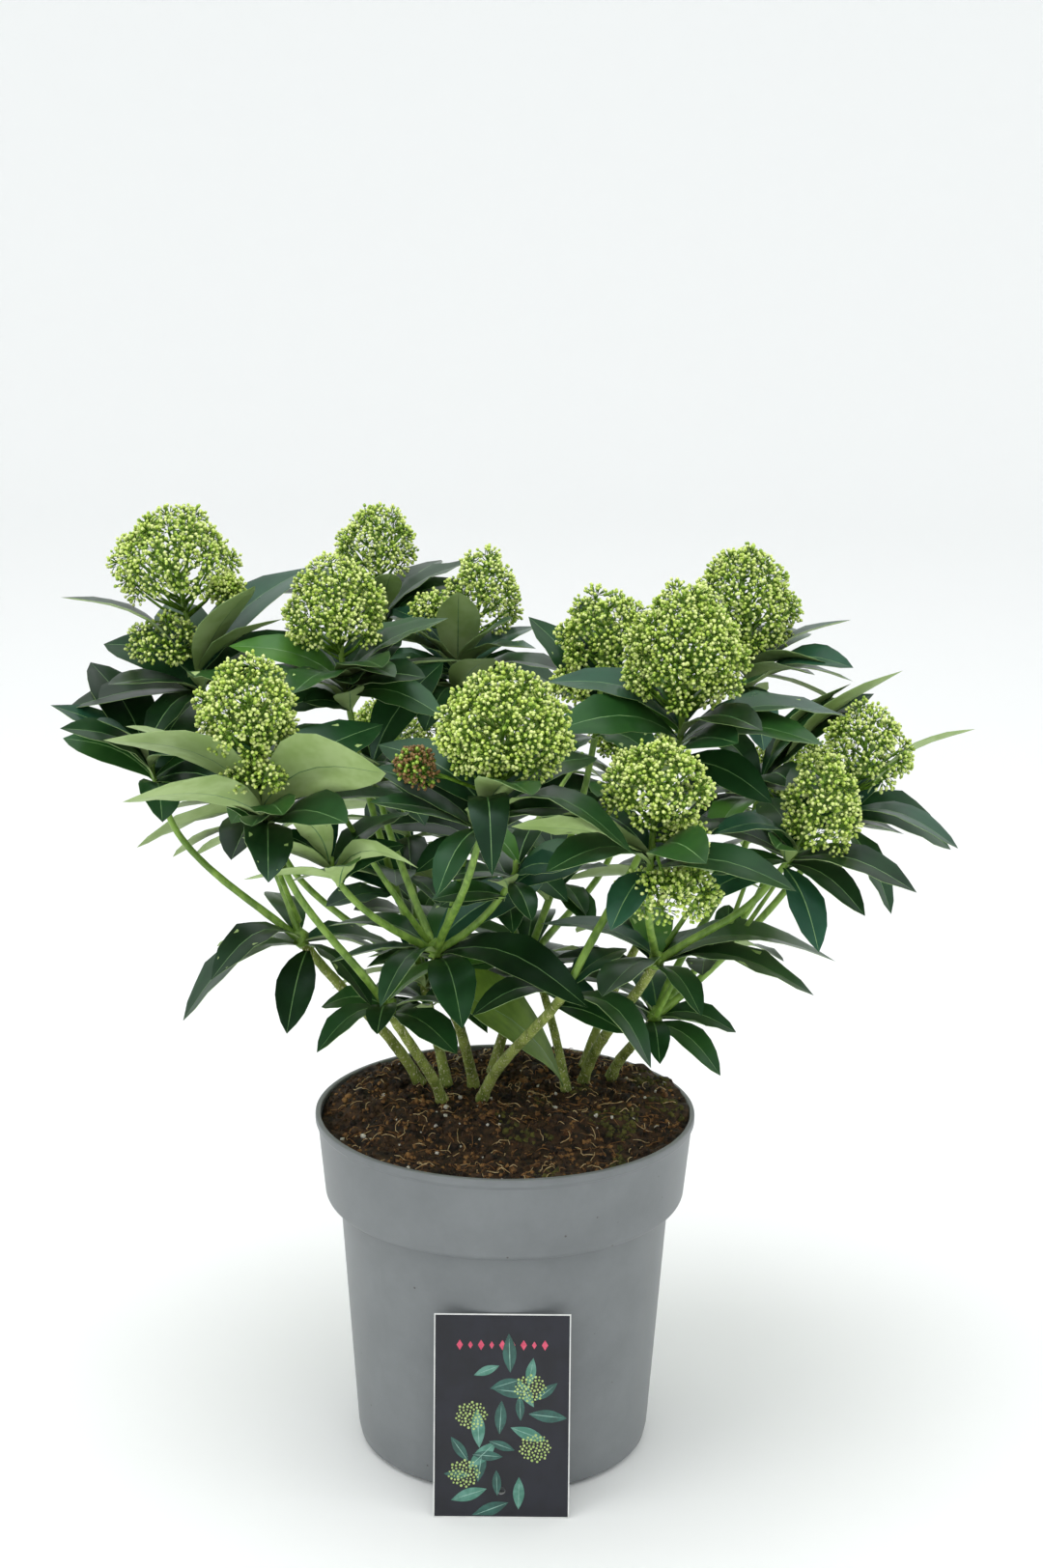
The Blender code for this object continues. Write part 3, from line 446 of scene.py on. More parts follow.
def moulded_plastic():
    """Grey polypropylene: mid grey, satin, with cloudy dust, orange-peel skin and dark specks."""
    made, tree, shader = new_material("moulded_polypropylene", 0.42, ior=1.49)
    place = add_node(tree, "ShaderNodeTexCoord", {}, {}).outputs["Object"]
    dust = add_node(tree, "ShaderNodeTexNoise", {}, {
        "Vector": place, "Scale": 1 / (45 * MM), "Detail": 5.0, "Roughness": 0.65})
    share = add_node(tree, "ShaderNodeMapRange", {}, {
        "Value": dust.outputs[0], "From Min": 0.3, "From Max": 0.7})
    grey = add_node(tree, "ShaderNodeMix", {"data_type": "RGBA"}, {
        0: share.outputs[0], 6: linear_colour("6a6e70"), 7: linear_colour("777b7d")})
    specks = add_node(tree, "ShaderNodeTexVoronoi", {}, {
        "Vector": place, "Scale": 1 / (14 * MM), "Randomness": 1.0})
    dirt = add_node(tree, "ShaderNodeMapRange", {}, {
        "Value": specks.outputs["Distance"], "From Min": 0.035, "From Max": 0.055,
        "To Min": 1.0, "To Max": 0.0})
    specked = add_node(tree, "ShaderNodeMix", {"data_type": "RGBA"}, {
        0: dirt.outputs[0], 6: grey.outputs[2], 7: linear_colour("4a4a46")})
    tree.links.new(specked.outputs[2], shader.inputs["Base Color"])
    gloss = add_node(tree, "ShaderNodeMapRange", {}, {
        "Value": dust.outputs[0], "To Min": 0.36, "To Max": 0.52})
    tree.links.new(gloss.outputs[0], shader.inputs["Roughness"])
    skin = add_node(tree, "ShaderNodeTexNoise", {}, {"Vector": place, "Scale": 1 / (1.6 * MM)})
    bump = add_node(tree, "ShaderNodeBump", {}, {
        "Height": skin.outputs[0], "Distance": 0.03 * MM, "Strength": 1.0})
    tree.links.new(bump.outputs[0], shader.inputs["Normal"])
    return made


# %% [markdown]
# The six drain holes are cut last, by a Boolean with round bars through the floor. The result is
# made the piece's own mesh, so no modifier and no drill stays in the scene.

# %% Pot with drain holes


def cut_holes(piece, cutter):
    """Takes the cutter out of the piece for good, and removes the cutter."""
    cut = piece.modifiers.new("holes", "BOOLEAN")
    cut.operation = "DIFFERENCE"
    cut.object = cutter
    whole = bpy.data.meshes.new_from_object(
        piece.evaluated_get(bpy.context.evaluated_depsgraph_get()))
    piece.modifiers.clear()
    piece.data = whole
    bpy.data.objects.remove(cutter)


pot_pile = Pile()
pot_pile.add(turned(pot_profile, POT_SIDES), len(pot_profile) - 2, POT_SIDES)
pot = pot_pile.piece("nursery_pot", [moulded_plastic()], 35)
drill_pile = Pile()
hole_angles = (np.arange(DRAIN_COUNT) + 0.5) * 2 * math.pi / DRAIN_COUNT
hole_feet = np.stack((DRAIN_RING * np.cos(hole_angles), DRAIN_RING * np.sin(hole_angles),
                      np.full(DRAIN_COUNT, -FLOOR)), axis=-1)
hole_paths = hole_feet[:, None] + np.array((0, 3 * FLOOR))[:, None] * UP
drill_pile.add_rods(hole_paths, DRAIN_RADIUS, DRAIN_SIDES)
cut_holes(pot, drill_pile.piece("drain_drill", []))
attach(pot, "root")
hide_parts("pot")

# %% [markdown]
# The compost is moist peat: near black, crumbly, with pale root threads, a few white perlite grains
# and some moss. Its mound could be sculpted, but a height that is a function of the place, with
# noise on three scales, can also tell every loose bit how high it lies.

# %% Surface of the compost
CLEAR = 0.0003
SOIL_EDGE_HEIGHT = 0.197
GROUND = 0.2085
MOUND_CENTRE = np.array((0.005, 0.026))
MOUND_HALF = np.array((0.084, 0.056))
MOUND_FOOT = 1.5
EDGE_FILL = 3.0             # how far the loose peat is heaped above the level edge, mm
BACK_FILL = 3.5             # and how much further at the back right


def soil_height(x, y):
    """Height of the compost: a flat mound, and a smooth slope (3s² − 2s³) down to a level edge."""
    reach = np.hypot((x - MOUND_CENTRE[0]) / MOUND_HALF[0], (y - MOUND_CENTRE[1]) / MOUND_HALF[1])
    share = np.clip((reach - 1.0) / (MOUND_FOOT - 1.0), 0.0, 1.0)
    return mix(GROUND, SOIL_EDGE_HEIGHT, share * share * (3.0 - 2.0 * share))


def lattice_noise(x, y, cell, rng):
    """Smooth noise from −1 to 1: random heights on a square lattice, blended between its points."""
    table = rng.uniform(-1, 1, (257, 257))
    u, v = x / cell + 128, y / cell + 128
    i, j = np.floor(u).astype(int) % 256, np.floor(v).astype(int) % 256
    s, t = u - np.floor(u), v - np.floor(v)
    s, t = s * s * (3 - 2 * s), t * t * (3 - 2 * t)
    low = mix(table[i, j], table[i + 1, j], s)
    return mix(low, mix(table[i, j + 1], table[i + 1, j + 1], s), t)


def compost_surface(x, y):
    """The mound with clods of 14 mm, crumbs of 6 mm and grit of 2.5 mm on it.

    Toward the edge it's heaped by EDGE_FILL · e, and by BACK_FILL · e at the back right, where e
    is how much of the mound's own slope has gone.
    """
    rng = np.random.default_rng(7)
    clods = 2.0 * lattice_noise(x, y, 0.014, rng) + 1.3 * lattice_noise(x, y, 0.006, rng)
    grit = 0.7 * lattice_noise(x, y, 0.0025, rng)
    edge = (GROUND - soil_height(x, y)) / (GROUND - SOIL_EDGE_HEIGHT)
    back = np.clip((0.5 * x + y) / 0.08, 0, 1)
    return soil_height(x, y) + MM * (clods + grit - 0.4 + edge * (EDGE_FILL + BACK_FILL * back))


print("height of the compost at its middle, mm:", round(float(compost_surface(0.0, 0.0)) / MM, 1))

# %% [markdown]
# The compost is one closed body that fills the pot: a plug inside the wall, and a polar grid of
# rings and sides on top, whose heights are the surface's. The rings end just short of the middle
# in a pole.

# %% Body of the compost
SOIL_GAP = 0.0004           # between the compost and the pot's inner wall
SOIL_RINGS = 74
SOIL_SIDES = 260
soil_edge = COLLAR_TOP[0] - WALL - SOIL_GAP
share = np.linspace(1.0, 0.02, SOIL_RINGS)[:, None]
angles = np.arange(SOIL_SIDES) * 2 * math.pi / SOIL_SIDES
soil_x, soil_y = soil_edge * share * np.cos(angles), soil_edge * share * np.sin(angles)
soil_top = np.stack((soil_x, soil_y, compost_surface(soil_x, soil_y)), axis=-1)
plug = np.array([(POT_BASE_RADIUS - CLEAR, FLOOR + CLEAR), (POT_BODY_LOW[0] - WALL - CLEAR, POT_BODY_LOW[1]),
                 (POT_BODY_TOP[0] - WALL - CLEAR, POT_BODY_TOP[1] + WALL + CLEAR),
                 (COLLAR_LOW[0] - WALL - CLEAR, COLLAR_LOW[1] + WALL + 2 * CLEAR),
                 (soil_edge - 0.0002, SOIL_EDGE_HEIGHT - 0.006)])
plug_rings = np.stack((plug[:, :1] * np.cos(angles), plug[:, :1] * np.sin(angles),
                       plug[:, 1:] + 0 * angles), axis=-1)
soil_points = np.vstack((plug_rings.reshape(-1, 3), soil_top.reshape(-1, 3),
                         [(0, 0, FLOOR + CLEAR), (0, 0, float(compost_surface(0.0, 0.0)))]))
soil_pile = Pile()
soil_pile.add(soil_points[None], SOIL_RINGS + len(plug), SOIL_SIDES)

print("rings and sides of the body:", SOIL_RINGS + len(plug), SOIL_SIDES)

# %% [markdown]
# What makes it read as soil is the loose bits. Thousands of crumbs are scattered on the mound, most
# of them small, as a gamma law gives, and sunk in by half. Moist peat is near black and slightly
# glossy, dry crumbs are brown and dull, and in one corner the crumbs are tinged by moss.

# %% Crumbs of peat
CRUMBS = 6200
CRUMB_GAMMA = (2.6, 0.72)   # shape and scale, in mm, of the gamma law of their sizes
CRUMB_SIZES = (0.7, 6.0)    # the smallest and the largest, mm
BROWN_SHARE = 0.26          # crumbs of dry, brown peat among the moist ones
soil_rng = np.random.default_rng(11)
peat = mottled("moist_peat", "120903", "46301c", 5, 0.85, 0.5)
brown_peat = mottled("brown_peat_crumb", "4c3019", "936c40", 4, 0.9, 0.3)
moss = mottled("dry_moss", "3a3a18", "5d5a28", 4, 0.95, 0.3)


def scatter(count, rng, inset=0.0015):
    """Even random places on the disc of compost: the radius is the root of a random share."""
    radius = (soil_edge - inset) * np.sqrt(rng.random(count))
    angle = rng.random(count) * 2 * math.pi
    return radius * np.cos(angle), radius * np.sin(angle)


crumb_x, crumb_y = scatter(CRUMBS, soil_rng, 0.0028)
crumb_size = soil_rng.gamma(*CRUMB_GAMMA, CRUMBS).clip(*CRUMB_SIZES) * MM
crumb_ways = soil_rng.normal(0, 1, (CRUMBS, 3))
crumb_places = np.stack((crumb_x, crumb_y, compost_surface(crumb_x, crumb_y)), axis=-1)
crumb_feet = crumb_places - unit(crumb_ways) * crumb_size[:, None] * 0.5
crumb_points = lumps(crumb_feet, crumb_ways, crumb_size, crumb_size * 0.9, soil_rng, 0.12)
mossy = (lattice_noise(crumb_x, crumb_y, 0.022, np.random.default_rng(5)) + 9 * crumb_x > 0.75)
crumb_slots = np.where(mossy, 2, np.where(soil_rng.random(CRUMBS) < BROWN_SHARE, 1, 0))[:, None]
soil_pile.add_lumps(crumb_points, crumb_slots)
soil = soil_pile.piece("peat_compost", [peat, brown_peat, moss])
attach(soil, "root")
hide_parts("soil")


# %% [markdown]
# Pale dry root threads lie on the peat, a few of them long and curling, and between them white
# grains of perlite, a glassy rock that is puffed up by heat and mixed in to hold air. A thread
# could hang from a curve object, but a walk that turns a little at each step lies flat by itself.

# %% Threads and grains
THREADS = 380
THREAD_LENGTH = (3.0, 12.0)
THREAD_RADIUS = 0.24
LONG_THREADS = 18
LONG_THREAD_LENGTH = (10.0, 20.0)
LONG_THREAD_RADIUS = 0.30
THREAD_SIDES = 3
GRAINS = 64
GRAIN_SIZES = (1.1, 3.2)


def thread_paths(count, lengths, steps, inset, rng):
    """Paths that lie on the compost, (count, steps + 1, 3): each step turns by a random angle."""
    x, y = scatter(count, rng, inset)
    length = rng.uniform(*lengths, count) * MM
    turns = np.cumsum(rng.normal(0, 0.45, (count, steps)), axis=1)
    heading = rng.uniform(0, 2 * math.pi, (count, 1)) + turns
    heading = np.concatenate((heading[:, :1], heading), axis=1)
    moves = np.append(0.0, np.ones(steps) / steps) * length[:, None]
    path_x = x[:, None] + np.cumsum(moves * np.cos(heading), axis=1)
    path_y = y[:, None] + np.cumsum(moves * np.sin(heading), axis=1)
    hump = np.sin(np.linspace(0, math.pi, steps + 1)) * rng.uniform(0.2, 1.6, (count, 1)) * MM
    return np.stack((path_x, path_y, compost_surface(path_x, path_y) + 0.9 * MM + hump), axis=-1)


litter = Pile()
litter.add_rods(thread_paths(THREADS, THREAD_LENGTH, 4, 0.008, soil_rng), THREAD_RADIUS * MM,
                THREAD_SIDES, soil_rng.integers(0, 2, (THREADS, 1)))
litter.add_rods(thread_paths(LONG_THREADS, LONG_THREAD_LENGTH, 8, 0.022, soil_rng),
                LONG_THREAD_RADIUS * MM, THREAD_SIDES)
grain_x, grain_y = scatter(GRAINS, soil_rng, 0.006)
grain_size = soil_rng.uniform(*GRAIN_SIZES, GRAINS) * MM
grain_places = np.stack((grain_x, grain_y, compost_surface(grain_x, grain_y) + 0.5 * MM), axis=-1)
litter.add_lumps(lumps(grain_places, soil_rng.normal(0, 1, (GRAINS, 3)), grain_size, grain_size,
                       soil_rng, 0.1), 2)
litter_piece = litter.piece("root_threads_and_grains", [
    mottled("dry_root_thread", "b08d5c", "e0c898", 3, 0.8),
    mottled("brown_root_thread", "6b4a2a", "94693b", 3, 0.8),
    mottled("expanded_perlite", "b9b4a8", "e9e6dd", 1, 0.9, 0.1)])
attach(litter_piece, "root")

# %% [markdown]
# The plant grows by the rule that shaped its solids, so the same tables come first. A fork is a
# ring of leaves where a stem divides, a spray is a ring of leaves at a limb's end, with or without
# heads of buds above. A leaf that stands out is given by its bearing and rise in degrees, its
# length in mm and its arch in per cent; a head by its place above the ring and its size in mm.

# %% The plant's layout
STEMS = {
    "stem_left": ((-0.051, 0.029), "fork_left"),
    "stem_left_low": ((-0.037, 0.001), "fork_left_low"),
    "stem_left_back": ((-0.035, 0.026), "fork_left_back"),
    "stem_centre": ((-0.019, 0.026), "fork_centre"),
    "stem_front": ((-0.014, 0.003), "fork_front"),
    "stem_back": ((-0.008, 0.048), "fork_back"),
    "stem_back_thin": ((0.036, 0.019), None),
    "stem_right": ((0.046, 0.034), "fork_right"),
    "stem_right_thin": ((0.047, 0.061), None),
    "stem_right_low": ((0.063, 0.043), "fork_right_low"),
}


class Fork(NamedTuple):
    """A ring of leaves where a stem divides."""
    place: tuple
    leaves: int
    length: float
    aims: tuple


class Spray(NamedTuple):
    """A ring of leaves at a limb's end, with any heads of buds above it."""
    carrier: str
    has_limb: bool
    place: tuple
    leaves: int
    length: float
    heads: tuple
    aims: tuple


FORKS = {
    "fork_left": Fork((-0.117, -0.020, 0.313), 7, 62, (
        (-155, -25, 82, 22), (-100, -35, 60, 10), (-45, -22, 62, 14), (-135, -8, 66, 24),
        (110, 10, 60, 12))),
    "fork_left_low": Fork((-0.066, -0.050, 0.283), 6, 50, (
        (-140, -8, 52, 18), (-46, -10, 56, 12), (-95, -4, 40, 12), (15, 15, 55, 10))),
    "fork_left_back": Fork((-0.050, 0.062, 0.262), 6, 60, (
        (165, 5, 62, 14), (100, 10, 64, 14))),
    "fork_centre": Fork((-0.039, -0.060, 0.320), 7, 66, (
        (-30, -8, 98, 16), (-120, -12, 60, 26), (30, 22, 76, 10), (150, 2, 72, 14),
        (-75, -20, 62, 20))),
    "fork_front": Fork((0.033, -0.090, 0.307), 5, 54, (
        (-30, -28, 64, 26), (-165, 12, 58, 12), (50, 12, 52, 10))),
    "fork_back": Fork((0.011, 0.052, 0.275), 7, 68, (
        (10, -5, 70, 12), (75, 8, 72, 14), (160, 0, 66, 12))),
    "fork_right": Fork((0.083, -0.070, 0.318), 7, 70, (
        (-14, 3, 90, 16), (10, -10, 105, 14), (172, 24, 78, 12), (-60, -14, 52, 20))),
    "fork_right_low": Fork((0.086, -0.010, 0.265), 6, 52, (
        (-12, -6, 48, 16), (-32, -26, 52, 16), (-85, -18, 40, 18), (95, 20, 58, 12))),
}

SPRAYS = {
    "spray_far_left": Spray("fork_left", True, (-0.201, -0.010, 0.408), 7, 62, (), (
        (178, 34, 68, 12), (-125, 40, 54, 12), (128, 38, 82, 12), (-80, -6, 58, 14))),
    "spray_left_high": Spray("fork_left", True, (-0.176, 0.020, 0.454), 9, 78, (
        (-14, 5, 71, 76, 56), (-20, -6, 26, 44, 34), (16, -4, 54, 24, 22)), (
        (168, 28, 98, 12), (-42, 50, 76, 8), (42, 34, 98, 12), (-165, -4, 78, 14),
        (-118, -18, 62, 18), (-72, 16, 70, 14))),
    "spray_left_front": Spray("fork_left_low", True, (-0.128, -0.120, 0.415), 9, 84, (
        (-8, 0, 58, 64, 58), (-2, -10, 25, 38, 24)), (
        (-32, 34, 84, 18), (-158, 36, 94, 14), (-140, 14, 90, 10), (150, 30, 96, 12),
        (45, 22, 92, 12), (-85, -14, 60, 18))),
    "spray_left_middle": Spray("fork_left_back", True, (-0.091, -0.020, 0.463), 8, 68, (
        (-5, 0, 45, 64, 62),), (
        (-112, 10, 68, 16), (-68, 12, 68, 14), (-30, -4, 64, 14), (178, 18, 68, 12),
        (120, 22, 76, 12))),
    "spray_left_back": Spray("fork_left_back", True, (-0.075, 0.105, 0.474), 7, 70, (
        (-5, 14, 46, 52, 50),), (
        (132, -6, 70, 14), (-80, 40, 48, 10), (62, 22, 74, 12))),
    "spray_centre_back": Spray("fork_back", True, (-0.030, 0.055, 0.450), 9, 72, (
        (14, 32, 46, 50, 56), (-16, 6, 40, 26, 34)), (
        (-150, 52, 72, 8), (-100, 70, 72, 8), (-48, 50, 64, 10), (-14, 6, 76, 16),
        (-105, -8, 66, 16), (-145, -8, 60, 14), (42, 22, 66, 12))),
    "spray_centre_front": Spray("fork_centre", True, (-0.011, -0.140, 0.420), 9, 74, (
        (9, 0, 50, 84, 68), (-36, -4, 28, 24, 24)), (
        (-84, -12, 56, 50), (-160, 36, 74, 10), (-24, -4, 84, 26), (150, 22, 72, 12),
        (40, 14, 80, 14), (-120, -30, 52, 16))),
    "spray_centre_right": Spray("fork_back", True, (0.051, 0.025, 0.429), 8, 72, (
        (4, -4, 58, 56, 54), (-16, -14, 28, 26, 22)), (
        (-116, 38, 74, 12), (140, 46, 76, 12), (96, 48, 82, 12), (-130, -12, 56, 14),
        (-50, -6, 56, 14))),
    "spray_right_tall": Spray("fork_front", True, (0.095, -0.055, 0.445), 8, 76, (
        (1, -3, 50, 74, 78),), (
        (-150, 10, 82, 14), (-22, -14, 92, 14), (6, 8, 95, 12), (-52, 14, 68, 16),
        (122, 18, 66, 12))),
    "spray_right_back": Spray("stem_right_thin", True, (0.141, 0.075, 0.450), 8, 66, (
        (0, 6, 48, 66, 70),), (
        (16, -2, 68, 14), (-82, -26, 60, 14), (-40, 14, 56, 12), (58, 16, 76, 12))),
    "spray_right_front": Spray("fork_right", True, (0.076, -0.135, 0.395), 8, 70, (
        (3, 0, 45, 64, 52), (18, -4, 14, 26, 18), (9, -6, -13, 46, 20)), (
        (-172, 22, 76, 14), (-136, 8, 78, 18), (-14, -4, 78, 14), (-118, -32, 50, 12),
        (52, 8, 64, 12), (130, 16, 56, 12))),
    "spray_right_low": Spray("fork_right", True, (0.155, -0.085, 0.384), 7, 62, (
        (16, 0, 33, 52, 64),), (
        (-64, -44, 54, 12), (-155, 24, 56, 26), (-14, 8, 82, 14), (104, 16, 58, 12),
        (-36, -22, 54, 14))),
    "spray_far_right": Spray("fork_right_low", True, (0.191, -0.002, 0.388), 8, 74, (
        (16, 2, 38, 64, 56),), (
        (14, 27, 88, 10), (-26, -8, 72, 16), (14, -18, 74, 18), (-40, -50, 62, 12),
        (40, 50, 72, 10))),
    "spray_right_inner": Spray("fork_right_low", True, (0.146, 0.030, 0.392), 7, 66, (), (
        (0, 52, 66, 10), (10, 38, 84, 10), (-118, -6, 60, 14), (-74, 16, 58, 14))),
    "spray_small_left": Spray("fork_centre", False, (-0.093, -0.112, 0.383), 6, 50, (), (
        (-150, 48, 52, 12), (-26, 12, 52, 24), (-170, 20, 58, 12), (-148, 8, 56, 12),
        (45, 20, 60, 12))),
    "spray_centre_left": Spray("fork_centre", False, (-0.076, 0.000, 0.408), 8, 66, (), (
        (35, 48, 72, 10), (175, 8, 74, 14), (-10, 6, 66, 14), (-150, -6, 62, 12),
        (-60, -10, 60, 14))),
    "spray_small_centre": Spray("fork_centre", False, (0.005, -0.080, 0.373), 5, 46, (), (
        (0, 10, 50, 14), (135, 26, 40, 10), (-70, -20, 36, 12))),
    "spray_inner": Spray("stem_back_thin", True, (-0.002, 0.160, 0.355), 8, 76, (
        (2, 6, 46, 58, 54),), ()),
    "spray_back_left": Spray("fork_left_back", True, (-0.150, 0.120, 0.350), 8, 76, (
        (-6, 8, 44, 58, 54),), ()),
    "spray_back_middle": Spray("fork_left_back", True, (-0.075, 0.185, 0.345), 8, 74, (
        (0, 8, 44, 56, 52),), ()),
    "spray_back_right": Spray("fork_back", True, (0.075, 0.165, 0.350), 8, 76, (
        (2, 6, 45, 60, 56),), ()),
    "spray_back_far": Spray("fork_right_low", True, (0.168, 0.118, 0.343), 8, 72, (
        (4, 6, 43, 56, 52),), ()),
}

head_count = sum(len(spray.heads) for spray in SPRAYS.values())
print(f"{len(STEMS)} stems, {len(FORKS)} forks and {len(SPRAYS)} sprays with {head_count} heads")

# %% [markdown]
# Stems and limbs follow smooth curves that leave one joint and reach the next along given ways.
# Limbs of one fork are first turned apart, as shoots that compete for light are. These are the
# rules of the solid model, so each curve runs inside its solid from end to end.

# %% Routes of stems and limbs
STEM_RADIUS = 0.0043
STEM_TOP_RADIUS = 0.0036
FLARE_RADIUS = 0.0054
FLARE_HEIGHT = 0.012
LIMB_RADIUS = 0.0031
LIMB_TOP_RADIUS = 0.0024
THIN_STEM_SHARE = 0.85
STUB_LENGTH = 0.0155
STUB_SPREAD = 34.0
NECK = 0.027
HEAD_STALK_RADIUS = 0.0019


def smooth_path(start, start_way, end, end_way, count, bow=0.9):
    """The cubic curve with given ends and end tangents, each bow times the ends' distance long.

    It is (2t³ − 3t² + 1)·start + (t³ − 2t² + t)·pull·start_way + (3t² − 2t³)·end + (t³ − t²)·pull·end_way.
    """
    start, end = np.asarray(start, float), np.asarray(end, float)
    pull = bow * np.linalg.norm(end - start)
    t = np.linspace(0.0, 1.0, count)[:, None]
    return ((2 * t**3 - 3 * t**2 + 1) * start + (t**3 - 2 * t**2 + t) * pull * unit(start_way)
            + (3 * t**2 - 2 * t**3) * end + (t**3 - t**2) * pull * unit(end_way))


def spread_ways(ways, least_angle, rounds=60, step=0.3):
    """Turns the directions apart until every two differ by the least angle."""
    ways = [unit(way) for way in ways]
    for _ in range(rounds):
        for i in range(len(ways)):
            for j in range(i):
                angle = math.degrees(math.acos(float(np.clip(np.dot(ways[i], ways[j]), -1, 1))))
                if angle < least_angle:
                    apart = unit(ways[i] - ways[j] + np.array((1e-6, 0, 0)))
                    push = step * math.radians(least_angle - angle)
                    ways[i] = unit(ways[i] + push * apart)
                    ways[j] = unit(ways[j] - push * apart)
    return ways


class Route(NamedTuple):
    """Where a spray's limb starts and ends, and the way it runs there."""
    start: np.ndarray
    start_way: np.ndarray
    end: np.ndarray
    end_way: np.ndarray


def spray_top(spray):
    """The end of the spray's own stem: the middle of its first head, or just above its leaves."""
    if spray.heads:
        return np.array(spray.place) + MM * np.array(spray.heads[0][:3])
    return np.array(spray.place) + np.array((0.0, 0.0, 0.006))


def plan_routes():
    """The limb's route for each spray, once its fork's directions are spread apart."""
    found = {}
    origins = {name: np.array(fork.place) for name, fork in FORKS.items()}
    for name, (foot, fork) in STEMS.items():
        if fork is None:
            origins[name] = np.array((foot[0], foot[1], GROUND + CLEAR))
    for carrier, origin in origins.items():
        carried = [name for name, spray in SPRAYS.items() if spray.carrier == carrier]
        ends = {}
        for name in carried:
            place = np.array(SPRAYS[name].place)
            end_way = unit(unit(place - origin) + unit(spray_top(SPRAYS[name]) - place))
            ends[name] = (place - NECK * end_way, end_way)
        ways = spread_ways([ends[name][0] - origin for name in carried], STUB_SPREAD)
        for name, way in zip(carried, ways):
            start = origin + STUB_LENGTH * way if carrier in FORKS else origin
            found[name] = Route(start, way, *ends[name])
    return found


routes = plan_routes()
print("limbs planned:", len(routes))

# %% [markdown]
# The old stems have a thin olive bark that is flecked with pale, corky pores; the limbs are smooth,
# bright green shoots of this year. Both are rods of many rings. Their radius swells at the joints,
# where leaves once sat, and wavers a little between, so the outline is never a plain pipe.

# %% Relief of stems and limbs
BARK_SIDES = 14
BARK_STEP = 0.0022           # length of stem for each ring
NODE_STEP = 0.016            # distance between old leaf joints
STEM_RELIEF = 0.10           # height of a joint over the radius
LIMB_RELIEF = 0.07
SLIM = 0.76                  # radius of the stems and limbs over their solids'
SKIN_STEP = 0.003            # length of a green limb for each ring
ROUTE_POINTS = 30            # points of a limb's curve before it is divided evenly


def along(path):
    """The length run at each point of a path."""
    return np.concatenate(([0.0], np.linalg.norm(np.diff(path, axis=0), axis=1).cumsum()))


def resampled(path, step):
    """The path with even steps of about the given length."""
    run = along(path)
    count = max(int(run[-1] / step), 4)
    even = np.linspace(0, run[-1], count)
    return np.stack([np.interp(even, run, path[:, k]) for k in range(3)], axis=-1)


def bark_relief(path, radii, rng, depth):
    """Radii for each ring and side: (1 + joints + waver) times the stem's own radius.

    Joints are narrow swellings every NODE_STEP; the waver is three sine waves round and along.
    """
    run = along(path)[:, None]
    angles = np.arange(BARK_SIDES) * 2 * math.pi / BARK_SIDES
    joint = np.exp(-(((run + rng.uniform(0, NODE_STEP)) % NODE_STEP - NODE_STEP / 2) / 0.0013) ** 2)
    facing = 0.5 + 0.5 * np.cos(angles - 2.4 * np.floor(run / NODE_STEP))
    waver = sum(np.sin(run / scale + k * angles + rng.uniform(0, 6.28))
                for k, scale in ((1, 0.009), (2, 0.005), (3, 0.0023)))
    return (radii[:, None] * (1 + depth * joint * facing + 0.25 * depth * waver))[None]


print("rings of a stem 100 mm long:", int(0.100 / BARK_STEP))

# %% [markdown]
# A stem stands in the compost with a flared foot and runs on into the middle of its fork, so that
# no gap shows where the limbs part. The thin stems carry a spray of their own and have no fork.

# %% Stems


def stem_curve(name, foot, fork):
    """The stem's middle line, carried on into its fork, with the foot's flare in its radii."""
    start = np.array((foot[0], foot[1], GROUND + CLEAR))
    if fork:
        place = np.array(FORKS[fork].place)
        way = unit(place - np.array((foot[0], foot[1], GROUND)))
        end, low, high = place - (STUB_LENGTH + CLEAR) * way, STEM_RADIUS, STEM_TOP_RADIUS
    else:
        route = next(r for s, r in routes.items() if SPRAYS[s].carrier == name)
        way, end = route.end_way, route.end
        low, high = THIN_STEM_SHARE * STEM_RADIUS, LIMB_TOP_RADIUS
    lean = unit(end - start)
    path = smooth_path(start, unit(lean + np.array((0, 0, 0.5))), end, way, 40)
    if fork:
        path = np.vstack((path, np.linspace(end, place, 6)[1:]))
    path = resampled(path, BARK_STEP)
    run = along(path)
    radii = SLIM * mix(low, high, run / run[-1])
    flare = np.clip(1 - run / FLARE_HEIGHT, 0, 1) ** 1.5
    return path, radii + SLIM * flare * (FLARE_RADIUS - STEM_RADIUS) * low / STEM_RADIUS


def add_bar(pile, path, radii, relief):
    """Adds a bar with swollen joints and rounded ends to the pile."""
    pile.add_rods(path[None], bark_relief(path, radii, bark_rng, relief), BARK_SIDES, ends=0.5)


bark_rng = np.random.default_rng(21)
stem_pile = Pile()
crowded_paths = []           # middle lines of stems and limbs, which leaves keep clear of
for name, (foot, fork) in STEMS.items():
    path, radii = stem_curve(name, foot, fork)
    crowded_paths.append(path)
    add_bar(stem_pile, path, radii, STEM_RELIEF)
print("points of the stems:", stem_pile.total)

# %% [markdown]
# The bark of a stem two or three years old is thin, dull and olive, in patches of 7 mm that are
# drawn out along the stem. Pores of pale cork break it. They stand up a tenth of a millimetre, so
# one noise makes both their colour and their relief.

# %% Bark


